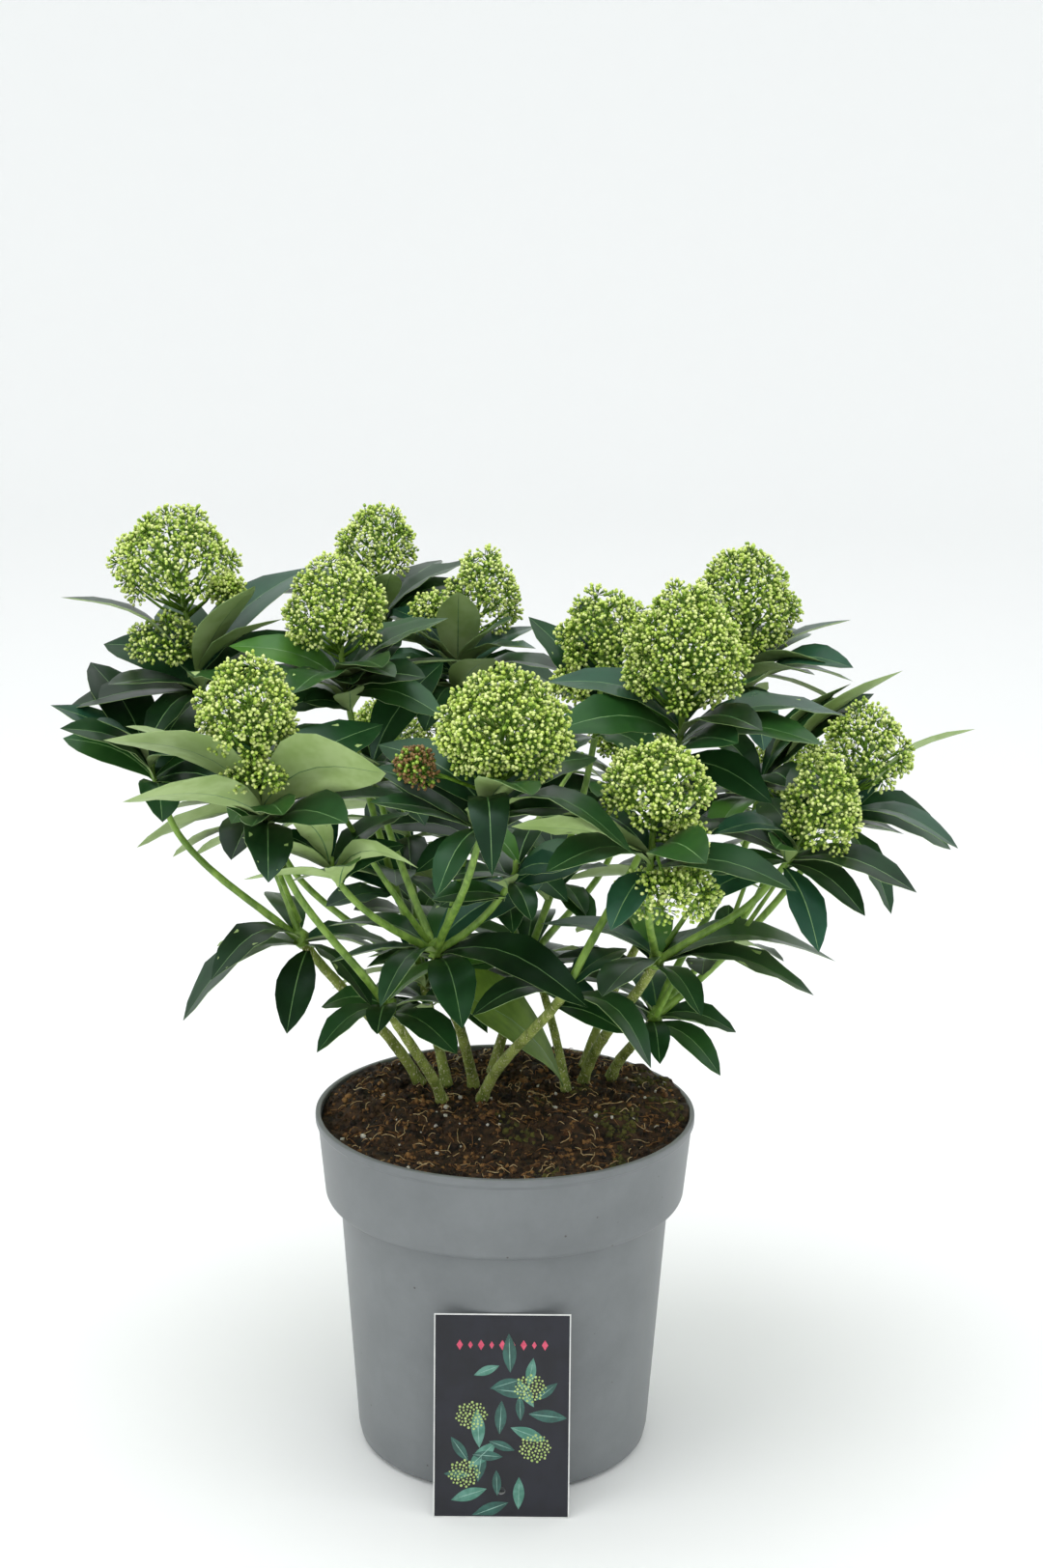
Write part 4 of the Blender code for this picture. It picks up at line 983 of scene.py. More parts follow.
def corky_bark():
    """Olive-green young bark with pale pores 1 mm wide and 2 mm long, raised and dull."""
    made, tree, shader = new_material("corky_olive_bark", 0.7)
    place = add_node(tree, "ShaderNodeTexCoord", {}, {}).outputs["Object"]
    stretched = add_node(tree, "ShaderNodeMapping", {}, {"Vector": place, "Scale": (1, 1, 0.42)})
    patches = add_node(tree, "ShaderNodeTexNoise", {}, {
        "Vector": stretched.outputs[0], "Scale": 1 / (7 * MM), "Detail": 3.0})
    patch_share = add_node(tree, "ShaderNodeMapRange", {}, {
        "Value": patches.outputs[0], "From Min": 0.4, "From Max": 0.6})
    ground = add_node(tree, "ShaderNodeMix", {"data_type": "RGBA"}, {
        0: patch_share.outputs[0], 6: linear_colour("64732a"), 7: linear_colour("909d4c")})
    pores = add_node(tree, "ShaderNodeTexNoise", {}, {
        "Vector": stretched.outputs[0], "Scale": 1 / (0.9 * MM), "Detail": 1.0})
    pore_share = add_node(tree, "ShaderNodeMapRange", {}, {
        "Value": pores.outputs[0], "From Min": 0.60, "From Max": 0.68})
    colour = add_node(tree, "ShaderNodeMix", {"data_type": "RGBA"}, {
        0: pore_share.outputs[0], 6: ground.outputs[2], 7: linear_colour("cac6a0")})
    tree.links.new(colour.outputs[2], shader.inputs["Base Color"])
    bump = add_node(tree, "ShaderNodeBump", {}, {
        "Height": pore_share.outputs[0], "Distance": 0.12 * MM, "Strength": 1.0})
    tree.links.new(bump.outputs[0], shader.inputs["Normal"])
    return made


stems = stem_pile.piece("barked_stems", [corky_bark()])
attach(stems, "root")
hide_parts(*STEMS)

# %% [markdown]
# A limb runs from the middle of its fork through its spray's ring of leaves to the head above it.
# Where a spray's stem stands in the compost, only the part above the stem's end is added. Ten thin
# shoots stand beside the limbs, and the last two end in a bare, swollen bud. Lumps of smooth skin
# cover each place where limbs part.

# %% Limbs and thin shoots
limb_pile = Pile()
for name, spray in SPRAYS.items():
    route, place, on_fork = routes[name], np.array(spray.place), spray.carrier in FORKS
    parts = [np.array(FORKS[spray.carrier].place) if on_fork else route.end]
    if not spray.has_limb:
        parts.append(smooth_path(route.start, route.start_way, place, route.end_way, ROUTE_POINTS))
    elif on_fork:
        parts.append(smooth_path(*route, ROUTE_POINTS))
    if spray.has_limb:
        parts.append(place)
    path = resampled(np.vstack((*parts, spray_top(spray))), SKIN_STEP)
    crowded_paths.append(path)
    share = along(path) / along(path)[-1]
    radii = SLIM * np.interp(share, (0, 0.75, 1), (LIMB_RADIUS, LIMB_TOP_RADIUS, HEAD_STALK_RADIUS))
    add_bar(limb_pile, path, radii, LIMB_RELIEF)

# Foot, bend and end of each shoot, and its radius at the foot, in mm.
THIN_SHOOTS = (
    ((-118, -20, 325), (-128, -46, 362), (-136, -68, 399), 1.7),
    ((-35, -60, 330), (-25, -82, 368), (-17, -100, 408), 1.6),
    ((10, -50, 385), (27, -34, 402), (42, -20, 425), 1.4),
    ((82, -50, 317), (79, -60, 334), (78, -70, 352), 1.6),
    ((87, -57, 321), (104, -58, 348), (118, -60, 372), 1.6),
    ((86, -26, 272), (91, -35, 286), (96, -42, 300), 1.8),
    ((122, -47, 324), (131, -38, 344), (138, -30, 363), 1.5),
    ((129, -47, 324), (140, -42, 339), (150, -40, 354), 1.5),
    ((-42, -56, 323), (-71, -88, 374), (-94, -100, 421), 1.8),
    ((117, -34, 414), (126, -50, 420), (134, -60, 417), 1.9),
)
BUD_TIP = (8.0, 5.5)         # length and width of such a bud, mm
FORK_LUMP_HEIGHT = 10.0
FORK_LUMPS = ((-4.5, 9.8), (-2.0, 10.4))        # height of the foot above the fork, and width, mm


def upright_lumps(feet, height, width, rough):
    """Lumps of one size, in mm, that stand upright on their feet."""
    count = len(feet)
    return lumps(feet, np.tile(UP, (count, 1)), np.full(count, MM * height), np.full(count, MM * width),
                 bark_rng, rough)


for foot, bend, end, radius in THIN_SHOOTS:
    path = MM * smooth_path(foot, np.subtract(bend, foot), end, np.subtract(end, bend), 12)
    path = resampled(path, SKIN_STEP)
    add_bar(limb_pile, path, MM * np.linspace(radius, 0.75 * radius, len(path)), LIMB_RELIEF)
tip_feet = MM * np.array([end for _, _, end, _ in THIN_SHOOTS[-2:]]) - 2 * MM * UP
limb_pile.add_lumps(upright_lumps(tip_feet, *BUD_TIP, 0.04))
fork_places = np.array([fork.place for fork in FORKS.values()])
for shift, width in FORK_LUMPS:
    limb_pile.add_lumps(upright_lumps(fork_places + MM * shift * UP, FORK_LUMP_HEIGHT, width, 0.03))
# The smooth skin of a shoot of this year: bright green, paler in streaks along it, half glossy.
green_shoot = mottled("green_shoot_skin", "5c7e2c", "82a345", 6, 0.42, 0.08, (1, 1, 0.4))
limbs = limb_pile.piece("green_limbs", [green_shoot])
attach(limbs, "root")
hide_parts(*[name for name in NODES if name.startswith("limb_")])

# %% [markdown]
# A skimmia leaf is leathery: dark blue-green and glossy above, pale yellow-green below, with a
# pale midrib and a thin pale edge. It is a rod with a flat section of ten points: six across the
# top, four across the underside. The faces of the section carry their own finish, so midrib and
# edge are real strips of mesh and need no picture. Its place, bend and turn come from the solid
# model's rule, and the turned variant is the one whose tip the solid model has.

# %% The blade of a leaf
LEAF_ROWS = np.array((0.0, 0.055, 0.13, 0.24, 0.37, 0.51, 0.65, 0.78, 0.90))
LEAF_SIDES = 10
LEAF_WIDTH_RATIO = (0.29, 0.37)
LEAF_ROOT_HALF = 0.0013
RING_DEPTH = 0.012
BLADE_THICK = 0.00045
RIB_HALF = 0.00045
# The ten points of the section: six across the top, then four back across the underside.
ACROSS = np.array((-1.0, -0.55, 0.0, 0.0, 0.55, 1.0, 1.0, 0.0, 0.0, -1.0))    # in half widths
RIB_SIDE = np.array((0, 0, -1, 1, 0, 0, 0, 1, -1, 0))                         # sides of the midrib
BELOW_TOP = np.array((0, 0, 0.3, 0.3, 0, 0, 0.8, 1.6, 1.6, 0.8))              # in thicknesses


def blades(roots, bearing, rise, length, half_width, arch, twist, wave, phase):
    """Leaves, (copies, 92, 3). Every argument but the first is an array with one value a leaf.

    The middle line is root + length · (t · way + arch · sin(π t^0.85) · up). The half width is
    sin(π t^1.08)^0.8 of its greatest, and never under that of the stalk. Across, the blade lifts
    by 0.26 s − 0.12 s² of the half width, and its edges wave by sin of seven times the length.
    """
    b, r = np.radians(bearing), np.radians(rise)
    way = np.stack((np.cos(b) * np.cos(r), np.sin(b) * np.cos(r), np.sin(r)), axis=-1)
    flat_side = np.stack((-np.sin(b), np.cos(b), 0 * b), axis=-1)
    upward = np.cross(way, flat_side)
    side = np.cos(twist)[:, None] * flat_side + np.sin(twist)[:, None] * upward
    face_up = np.cross(way, side)
    t = LEAF_ROWS
    span = np.sin(math.pi * t ** 1.08) ** 0.8
    spread = np.maximum(span * half_width[:, None], LEAF_ROOT_HALF * (1 - 0.4 * t))
    bow = t * way[:, :, None] + (arch[:, None] * np.sin(math.pi * t ** 0.85))[:, None] * upward[:, :, None]
    middle = roots[:, None] + length[:, None, None] * bow.transpose(0, 2, 1)
    rib = RIB_HALF * (1 - 0.7 * t)[:, None] * RIB_SIDE
    x = spread[..., None] * ACROSS + np.minimum(rib, 0.3 * spread[..., None])
    s = np.abs(ACROSS)
    ripple = wave[:, None] * np.sin(7 * t * math.pi + phase[:, None])
    lift = spread[..., None] * (0.26 * s - 0.12 * s * s + ripple[..., None] * s ** 3 * np.sign(ACROSS))
    lift = lift - BLADE_THICK * BELOW_TOP * (1 - 0.3 * t)[:, None]
    points = (middle[:, :, None] + x[..., None] * side[:, None, None]
              + lift[..., None] * face_up[:, None, None])
    tips = roots + length[:, None] * way
    copies = len(roots)
    return np.concatenate((points.reshape(copies, -1, 3), roots[:, None], tips[:, None]), axis=1)


print("points and quads of a blade:", LEAF_SIDES * len(LEAF_ROWS) + 2, LEAF_SIDES * (len(LEAF_ROWS) - 1))

# %% [markdown]
# Each leaf of a ring is drawn in the same seeded order as in the solid model, so both agree on
# every bearing, rise and length. The solid model turns a leaf aside where it would meet a
# neighbour. Here the candidates are tried in the same order, and the first whose tip lies on a
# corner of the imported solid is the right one. A leaf that no solid has is left for later.

# %% Leaves of the rings
TURNS = ((0, 0, 1.0), (9, 0, 1.0), (-9, 0, 1.0), (0, 9, 1.0), (0, -9, 1.0), (18, 6, 1.0),
         (-18, 6, 1.0), (12, -14, 0.9), (-12, -14, 0.9), (0, 20, 0.9), (26, 0, 0.85),
         (-26, 0, 0.85), (0, 0, 0.75), (14, 10, 0.7), (-14, 10, 0.7))
TIP_MATCH = 0.0003
# How far a leaf that shows its underside is rolled about its midrib, in radians.
SHOWN_UNDERSIDES = {("spray_left_front", 0): 1.0, ("spray_left_front", 1): 0.55,
                    ("spray_left_front", 2): 0.55, ("spray_small_left", 0): 0.7,
                    ("spray_small_left", 1): 0.7, ("spray_right_front", 0): 0.6,
                    ("spray_far_right", 0): 0.6}
# Width of a leaf over the width that its ring gives it.
LEAF_WIDTHS = {("spray_left_front", 0): 1.35, ("fork_centre", 0): 0.75}


def widest_gap_middle(bearings):
    """The bearing in the middle of the widest free sector."""
    ordered = sorted(bearing % 360 for bearing in bearings)
    following = ordered[1:] + [ordered[0] + 360]
    gap, start = max((after - before, before) for before, after in zip(ordered, following))
    return start + gap / 2


def leaf_plan(seed, count, usual_length, aims, lowest_rise, highest_rise):
    """Bearing, rise, length, half width, arch and twist of each leaf of a ring."""
    rng = random.Random(seed)
    plan = []
    for i in range(count):
        ratio = rng.uniform(*LEAF_WIDTH_RATIO)
        twist = rng.uniform(-0.35, 0.35)
        turn = rng.uniform(-9, 9)
        rise = rng.uniform(lowest_rise, highest_rise)
        length = usual_length * rng.uniform(0.86, 1.1) * MM
        arch = rng.uniform(0.08, 0.18)
        bearing = 360.0 * rng.random()
        if i < len(aims):
            bearing, rise, length, arch = aims[i]
            length, arch = length * MM, arch / 100.0
        elif plan:
            bearing = widest_gap_middle([row[0] for row in plan]) + turn
        plan.append((bearing, rise, length, 0.5 * ratio * length, arch, twist))
    return plan


def leaf_tip(root, bearing, rise, length):
    """The tip: the root plus the length along the leaf's way."""
    b, r = math.radians(bearing), math.radians(rise)
    return root + length * np.array((math.cos(b) * math.cos(r), math.sin(b) * math.cos(r), math.sin(r)))


def ring_axis(name):
    """The way that a ring's stem runs: the stem below a fork, or the limb's end below a spray."""
    if name in SPRAYS:
        return routes[name].end_way
    foot = next(foot for foot, fork in STEMS.values() if fork == name)
    return unit(np.array(FORKS[name].place) - np.array((foot[0], foot[1], GROUND)))


def solid_corners(name):
    """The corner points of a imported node, as an array."""
    points = np.empty(len(NODES[name].data.vertices) * 3)
    NODES[name].data.vertices.foreach_get("co", points)
    return points.reshape(-1, 3)


SOLID_RISES = {"spray": (-4, 30), "fork": (-18, 14)}
leaf_rows = []                  # root x, y, z, bearing, rise, length, half width, arch, twist
leaf_kinds = []                 # spray or fork, for each row
rolled_leaves = set()           # rows of the leaves that keep their own roll
ring_bearings = {}
for name, ring in (SPRAYS | FORKS).items():
    kind = name.split("_")[0]
    plan = leaf_plan(name, ring.leaves, ring.length, ring.aims, *SOLID_RISES[kind])
    corners = solid_corners(name)
    ranks = sorted(range(len(plan)), key=lambda i: plan[i][1])
    ring_bearings[name] = []
    for i, (bearing, rise, length, half_width, arch, twist) in enumerate(plan):
        level = ranks.index(i) / max(len(plan) - 1, 1) - 0.6
        root = np.array(ring.place) + ring_axis(name) * RING_DEPTH * level
        if (name, i) in SHOWN_UNDERSIDES:
            twist = -SHOWN_UNDERSIDES[name, i] * float(np.sign(math.cos(math.radians(bearing))))
        half_width *= LEAF_WIDTHS.get((name, i), 1.0)
        for turn, lift, part in TURNS:
            tip = leaf_tip(root, bearing + turn, rise + lift, length * part)
            if np.min(np.linalg.norm(corners - tip, axis=1)) < TIP_MATCH:
                if (name, i) in SHOWN_UNDERSIDES:
                    rolled_leaves.add(len(leaf_rows))
                leaf_rows.append((*root, bearing + turn, rise + lift, length * part,
                                  half_width * part, arch, twist))
                leaf_kinds.append(kind)
                ring_bearings[name].append(bearing + turn)
                break
leaf_table = np.array(leaf_rows)
print("leaves that match the solid model:", len(leaf_table))

# %% [markdown]
# The finishes of a leaf. The top has a waxy skin over dark green flesh: smooth, with a faint blue
# bloom that differs from spray to spray, so five plain tones are dealt out. The underside is dull
# and pale, the midrib and the edge are paler still.

# %% Leaf finishes
LEAF_TOPS = [mottled("glossy_leaf_" + name, dark, pale, 30, 0.30, 0.03, ior=1.42, sheen_hex="b4dccb")
             for name, dark, pale in (("deep", "143317", "1d401f"), ("green", "1e411b", "284e21"),
                                      ("blue", "183b2a", "234a35"), ("dark", "0c220e", "153016"),
                                      ("fresh", "3a6524", "48742b"))]
LEAF_RIB = mottled("pale_midrib", "507849", "72955f", 5, 0.4)
LEAF_UNDER = mottled("leaf_underside", "93ad66", "adc484", 24, 0.55, 0.04, ior=1.35)
LEAF_EDGE = mottled("pale_leaf_edge", "6f8e52", "93ac70", 5, 0.45)
LEAF_OLIVE = mottled("olive_leaf_underside", "53701f", "6f8c30", 24, 0.6, 0.04, ior=1.3)
LEAF_FINISHES = LEAF_TOPS + [LEAF_RIB, LEAF_UNDER, LEAF_EDGE, LEAF_OLIVE]
RIB_SLOT, UNDER_SLOT, EDGE_SLOT, OLIVE_SLOT = (len(LEAF_TOPS) + k for k in range(4))
TONE_CHANCES = (0.34, 0.20, 0.20, 0.22, 0.04)
print("finishes of a leaf:", [finish.name for finish in LEAF_FINISHES])

# %% [markdown]
# Before leaves are added, each that is there finds its lie. It is rolled a little outward, so that
# it shows its glossy top, and where its blade would cross another, less roll or another arch is
# tried. Only the blade beyond the crowded foot counts. The crowd keeps a search tree for each
# blade and each limb, and the heads are kept as ellipsoids, in space and as the camera sees them.

# %% Room among the leaves
BLADE_WIDEN = 1.24
WAVES = (0.0, 0.10)         # height of an edge's waves over the half width
FACE_ROLL = {"fork": 0.12, "spray": 0.26, "limb": 0.12}     # outward roll of a blade, in radians
ROLL_BORDER = 0.06          # leaves behind this depth face the back
# Roll, as a share of that, and added arch that are tried in turn until a blade crosses no other.
CLEAR_WAYS = [(share, arch) for arch in (0.0, 0.03, -0.03, 0.06, -0.06)
              for share in (1.0, 0.6, 0.3, 0.0, -0.4, -0.8)]
HEAD_SHARE_HIDDEN = 0.10    # share of a blade's points that may lie before a head
CROWD_RADIUS = 0.003        # of stems and limbs, for this test alone
CROWD_SIDES = 5


def heads_of(spray):
    """Middle and half size of each head of a spray."""
    place = np.array(spray.place)
    return [(place + MM * np.array(head[:3]), MM * np.array((head[3], head[3], head[4])) / 2)
            for head in spray.heads]


ALL_HEADS = [head for spray in SPRAYS.values() for head in heads_of(spray)]
HEAD_MIDDLES = np.array([middle for middle, _ in ALL_HEADS])
HEAD_HALVES = np.array([half for _, half in ALL_HEADS])
TO_CAMERA = np.array(camera.matrix_world.inverted())


def seen(points):
    """Sideways and upward slopes of points as the camera sees them, and their distance from it."""
    local = np.asarray(points) @ TO_CAMERA[:3, :3].T + TO_CAMERA[:3, 3]
    return local[:, :2] / -local[:, 2:], -local[:, 2]


HEAD_SEEN, HEAD_FAR = seen(HEAD_MIDDLES)
HEAD_SEEN_HALF = HEAD_HALVES[:, [0, 2]] / HEAD_FAR[:, None]


def hides_or_enters_head(points):
    """True where the blade's points lie in a head, or where too many of them cover one."""
    inside = np.linalg.norm((points[:, None] - HEAD_MIDDLES) / HEAD_HALVES, axis=-1) < 1.0
    if inside.any():
        return True
    place, far = seen(points)
    reach = np.linalg.norm((place[:, None] - HEAD_SEEN) / HEAD_SEEN_HALF, axis=-1)
    return ((reach < 0.95) & (far[:, None] < HEAD_FAR)).any(axis=1).mean() > HEAD_SHARE_HIDDEN


BLADE_QUADS, BLADE_TRIANGLES = rod_faces(len(LEAF_ROWS), LEAF_SIDES)
OUTER_QUADS = BLADE_QUADS[3 * LEAF_SIDES:].tolist()
OUTER_FACES = OUTER_QUADS + BLADE_TRIANGLES[LEAF_SIDES:].tolist()


class Crowd:
    """The blades and stems that are already there, each with its box and its search tree."""

    def __init__(self):
        self.lows, self.highs, self.trees = [], [], []

    def add(self, points, faces):
        self.lows.append(points.min(axis=0))
        self.highs.append(points.max(axis=0))
        self.trees.append(BVHTree.FromPolygons(points.tolist(), faces))

    def meets(self, points, faces):
        """True where the faces cross anything in the crowd: boxes are compared first, then trees."""
        near = ((np.array(self.lows) <= points.max(axis=0)).all(axis=1)
                & (np.array(self.highs) >= points.min(axis=0)).all(axis=1))
        if not near.any():
            return False
        tree = BVHTree.FromPolygons(points.tolist(), faces)
        return any(tree.overlap(self.trees[i]) for i in np.flatnonzero(near))


def one_blade(row, wave, phase):
    """The points of the single leaf in a row of the leaf table."""
    row = np.asarray(row, float)[None]
    return blades(row[:, :3], *row[:, 3:].T, np.array((wave,)), np.array((phase,)))[0]


def face_roll(bearing, depth, kind):
    """The roll, in radians, that turns a blade's top a little outward: to the front or the back."""
    outward = 1.0 if depth < ROLL_BORDER else -1.0
    return FACE_ROLL[kind] * outward * math.cos(math.radians(bearing))


leaf_rng = np.random.default_rng(31)
crowd = Crowd()
for path in crowded_paths:
    coarse = path[::4]
    quads, triangles = rod_faces(len(coarse), CROWD_SIDES)
    crowd.add(rods(coarse[None], CROWD_RADIUS, CROWD_SIDES)[0], quads.tolist() + triangles.tolist())
leaf_table[:, 6] *= BLADE_WIDEN
waves = list(leaf_rng.uniform(*WAVES, len(leaf_table)))
phases = list(leaf_rng.uniform(0, 6.28, len(leaf_table)))
crossed = 0
for i, (row, wave, phase) in enumerate(zip(leaf_table, waves, phases)):
    roll = 0.0 if i in rolled_leaves else face_roll(row[3], row[1], leaf_kinds[i])
    usual_arch, usual_twist = row[7:]
    for share, arch in CLEAR_WAYS:
        row[7:] = usual_arch + arch, usual_twist + share * roll
        points = one_blade(row, wave, phase)
        if not crowd.meets(points, OUTER_FACES):
            break
    else:
        crossed += 1
    crowd.add(points, OUTER_FACES)
print("leaves of the solid rule that still touch another:", crossed)

# %% [markdown]
# A few leaves stand away from the rings: a large olive one that hangs by
# the compost, and slim ones at the outer ends of the crown. Each is given by its two ends.

# %% Lone leaves
LONE_WAVE, LONE_PHASE = 0.03, 1.0
# Root and tip in mm, half width over length, arch over length, twist in radians.
LONE_LEAVES = {
    "olive_leaf": ((34, 14, 214), (-39, -35, 292), 0.27, 0.10, -0.55),
    "left_tip_leaf": ((-186, 18, 470), (-253, 10, 505), 0.20, 0.14, 0.10),
    "right_tall_leaf": ((158, 28, 402), (225, 20, 465), 0.13, 0.10, -0.45),
    "right_short_leaf": ((152, 36, 400), (197, 30, 455), 0.17, 0.12, -0.35),
    "right_tip_leaf": ((205, 0, 398), (266, 8, 434), 0.14, 0.12, -0.50),
    "right_fan_leaf": ((150, 66, 452), (199, 40, 462), 0.25, 0.16, 0.25),
}


def lone_row(root, tip, ratio, arch, twist):
    """A row of the leaf table from the leaf's two ends."""
    run = MM * (np.array(tip, float) - np.array(root, float))
    length = float(np.linalg.norm(run))
    bearing, rise = math.degrees(math.atan2(run[1], run[0])), math.degrees(math.asin(run[2] / length))
    return (*(MM * np.array(root, float)), bearing, rise, length, ratio * length, arch, twist)


more_rows = []


def keep_leaf(row, wave, phase, points):
    """Takes the leaf into the crown."""
    crowd.add(points, OUTER_FACES)
    more_rows.append(row)
    waves.append(wave)
    phases.append(phase)


olive_row = len(leaf_table) + list(LONE_LEAVES).index("olive_leaf")
for ends_and_shape in LONE_LEAVES.values():
    row = lone_row(*ends_and_shape)
    keep_leaf(row, LONE_WAVE, LONE_PHASE, one_blade(row, LONE_WAVE, LONE_PHASE))
print("lone leaves, mm long:", [round(row[5] / MM) for row in more_rows])

# %% [markdown]
# A real crown holds more leaves than the solid one may, so each ring gets further leaves in its
# widest gaps, in the same space, and so do rings of their own part way up the rear limbs. A leaf
# drawn at random is kept when its blade meets no other blade or limb, stays inside the solid
# model's box, keeps out of the heads, and doesn't stand in front of one as the camera sees it.

# %% More leaves for each ring
MORE_LEAVES = {"fork": 2, "spray": 6}
# Rings at the middle of the crown, which get more of them.
INNER_LEAVES = {"fork_back": 20, "fork_left_back": 18, "fork_centre": 4, "fork_right_low": 10,
                "fork_right": 3, "spray_left_middle": 14, "spray_centre_left": 12,
                "spray_centre_back": 12, "spray_centre_right": 14, "spray_right_inner": 12,
                "spray_left_back": 10}
MORE_RISES = {"fork": (-14, 14), "spray": (-24, 34)}
REAR_RISES = {"fork_back": (-10, 48), "fork_left_back": (-10, 48), "fork_right_low": (-8, 40)}
# Rings part way up a limb: the spray it leads to, share of its way, leaf length in mm, leaves.
LIMB_RINGS = (("spray_centre_back", 0.45, 60, 8), ("spray_left_back", 0.42, 60, 8),
              ("spray_centre_right", 0.40, 58, 8), ("spray_left_middle", 0.38, 58, 7),
              ("spray_right_back", 0.60, 60, 7), ("spray_far_right", 0.35, 50, 5),
              ("spray_inner", 0.55, 58, 7), ("spray_centre_back", 0.22, 56, 6),
              ("spray_left_back", 0.20, 56, 6))
LIMB_RISES = (-14, 34)
MORE_TRIES = 14
FRONT_SECTOR = 60           # added leaves that point this near to the camera ...
FRONT_RISE = 12             # ... rise at least this much, so that they don't hang before the stems
# Limbs are seen bare under these.
BARE_BELOW = {"spray_far_left", "spray_left_front", "spray_small_left", "spray_centre_front",
              "spray_centre_left"}
box_low, box_high = (np.array(corner) for corner in CAD_BOX)


class Growth(NamedTuple):
    """A ring that gets further leaves: how many, how long (mm), and how far they may rise."""
    name: str
    kind: str
    place: np.ndarray
    axis: np.ndarray
    length: float
    bearings: list
    count: int
    rises: tuple


def growing_rings():
    """The rings of sprays and forks, and then those part way up the rear limbs."""
    for name, ring in (SPRAYS | FORKS).items():
        kind = name.split("_")[0]
        yield Growth(name, kind, np.array(ring.place), ring_axis(name), ring.length,
                     ring_bearings[name] or [0.0], INNER_LEAVES.get(name, MORE_LEAVES[kind]),
                     REAR_RISES.get(name, MORE_RISES[kind]))
    for name, share, length, count in LIMB_RINGS:
        path = smooth_path(*routes[name], ROUTE_POINTS)
        i = int(share * (ROUTE_POINTS - 1))
        yield Growth("limb", "limb", path[i], unit(path[i + 1] - path[i]), length, [0.0], count, LIMB_RISES)


def drawn_leaf(ring, middle, attempt):
    """A leaf drawn at random near a bearing, as a row of the table with its wave and phase.

    Gives None where such a leaf would hang before bare stems. Later attempts are drawn from a
    wider sector and are shorter.
    """
    spread = 8 + 7 * attempt
    bearing = middle + leaf_rng.uniform(-spread, spread)
    rise = leaf_rng.uniform(*ring.rises)
    faces_camera = abs((bearing + 270) % 360 - 180) < FRONT_SECTOR
    must_rise = (faces_camera and ring.kind != "limb") or ring.name in BARE_BELOW
    if (faces_camera and ring.name in REAR_RISES) or (must_rise and rise < FRONT_RISE):
        return None
    length = MM * ring.length * leaf_rng.uniform(0.78, 1.12) * (1 - 0.025 * attempt)
    root = ring.place + ring.axis * RING_DEPTH * leaf_rng.uniform(-1.5, 0.5)
    half_width, arch = length * leaf_rng.uniform(0.19, 0.23), leaf_rng.uniform(0.08, 0.2)
    twist = leaf_rng.uniform(-0.5, 0.5) + face_roll(bearing, root[1], ring.kind)
    return ((*root, bearing, rise, length, half_width, arch, twist),
            leaf_rng.uniform(*WAVES), leaf_rng.uniform(0, 6.28))


def has_room(points):
    """True where a blade lies inside the solid model's box, clear of heads and of the crowd."""
    inside = (points >= box_low).all() and (points <= box_high).all()
    return inside and not hides_or_enters_head(points) and not crowd.meets(points, OUTER_FACES)


def add_one_leaf(ring, bearings):
    """Tries leaves in the widest gap of the ring until one has room."""
    middle = widest_gap_middle(bearings)
    for attempt in range(MORE_TRIES):
        leaf = drawn_leaf(ring, middle, attempt)
        if leaf:
            points = one_blade(*leaf)
            if has_room(points):
                keep_leaf(*leaf, points)
                bearings.append(leaf[0][3])
                return


for ring in growing_rings():
    bearings = list(ring.bearings)
    for _ in range(ring.count):
        add_one_leaf(ring, bearings)
leaf_table = np.vstack((leaf_table, more_rows))
print("leaves with those added:", len(leaf_table))

# %% [markdown]
# All blades become one piece. Each side of the section has its finish: the four faces beside the
# midrib carry the leaf's own tone, and midrib, edge and underside theirs. The olive leaf turns its
# underside to the camera, and light through it makes both its faces olive.

# %% Leaves as one piece
leaf_pile = Pile()
leaf_points = blades(leaf_table[:, :3], *leaf_table[:, 3:].T, np.array(waves), np.array(phases))
tones = leaf_rng.choice(len(LEAF_TOPS), len(leaf_table), p=TONE_CHANCES)
side_slots = np.array((0, 0, RIB_SLOT, 0, 0, EDGE_SLOT, UNDER_SLOT, RIB_SLOT, UNDER_SLOT, EDGE_SLOT))
leaf_slots = np.where(side_slots == 0, tones[:, None], side_slots)
leaf_slots[olive_row, (side_slots == 0) | (side_slots == UNDER_SLOT)] = OLIVE_SLOT
leaf_pile.add(leaf_points, len(LEAF_ROWS), LEAF_SIDES, leaf_slots)
leaves = leaf_pile.piece("glossy_leaves", LEAF_FINISHES, 50)
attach(leaves, "root")
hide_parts(*SPRAYS, *FORKS)

# %% [markdown]
# A head of buds is a panicle: the stalk runs up its middle and sends out branches, each branch ends
# in a tuft of twigs, each twig in a small umbel of stalked buds. So the rule has three levels.
# Tufts lie evenly over a pointed dome inside the solid head, each a small ball of its own, which
# gives the lobed outline and the dark gaps. Umbels cover the tuft's outer side, and six buds, less
# a few that have dropped, fan out from each.

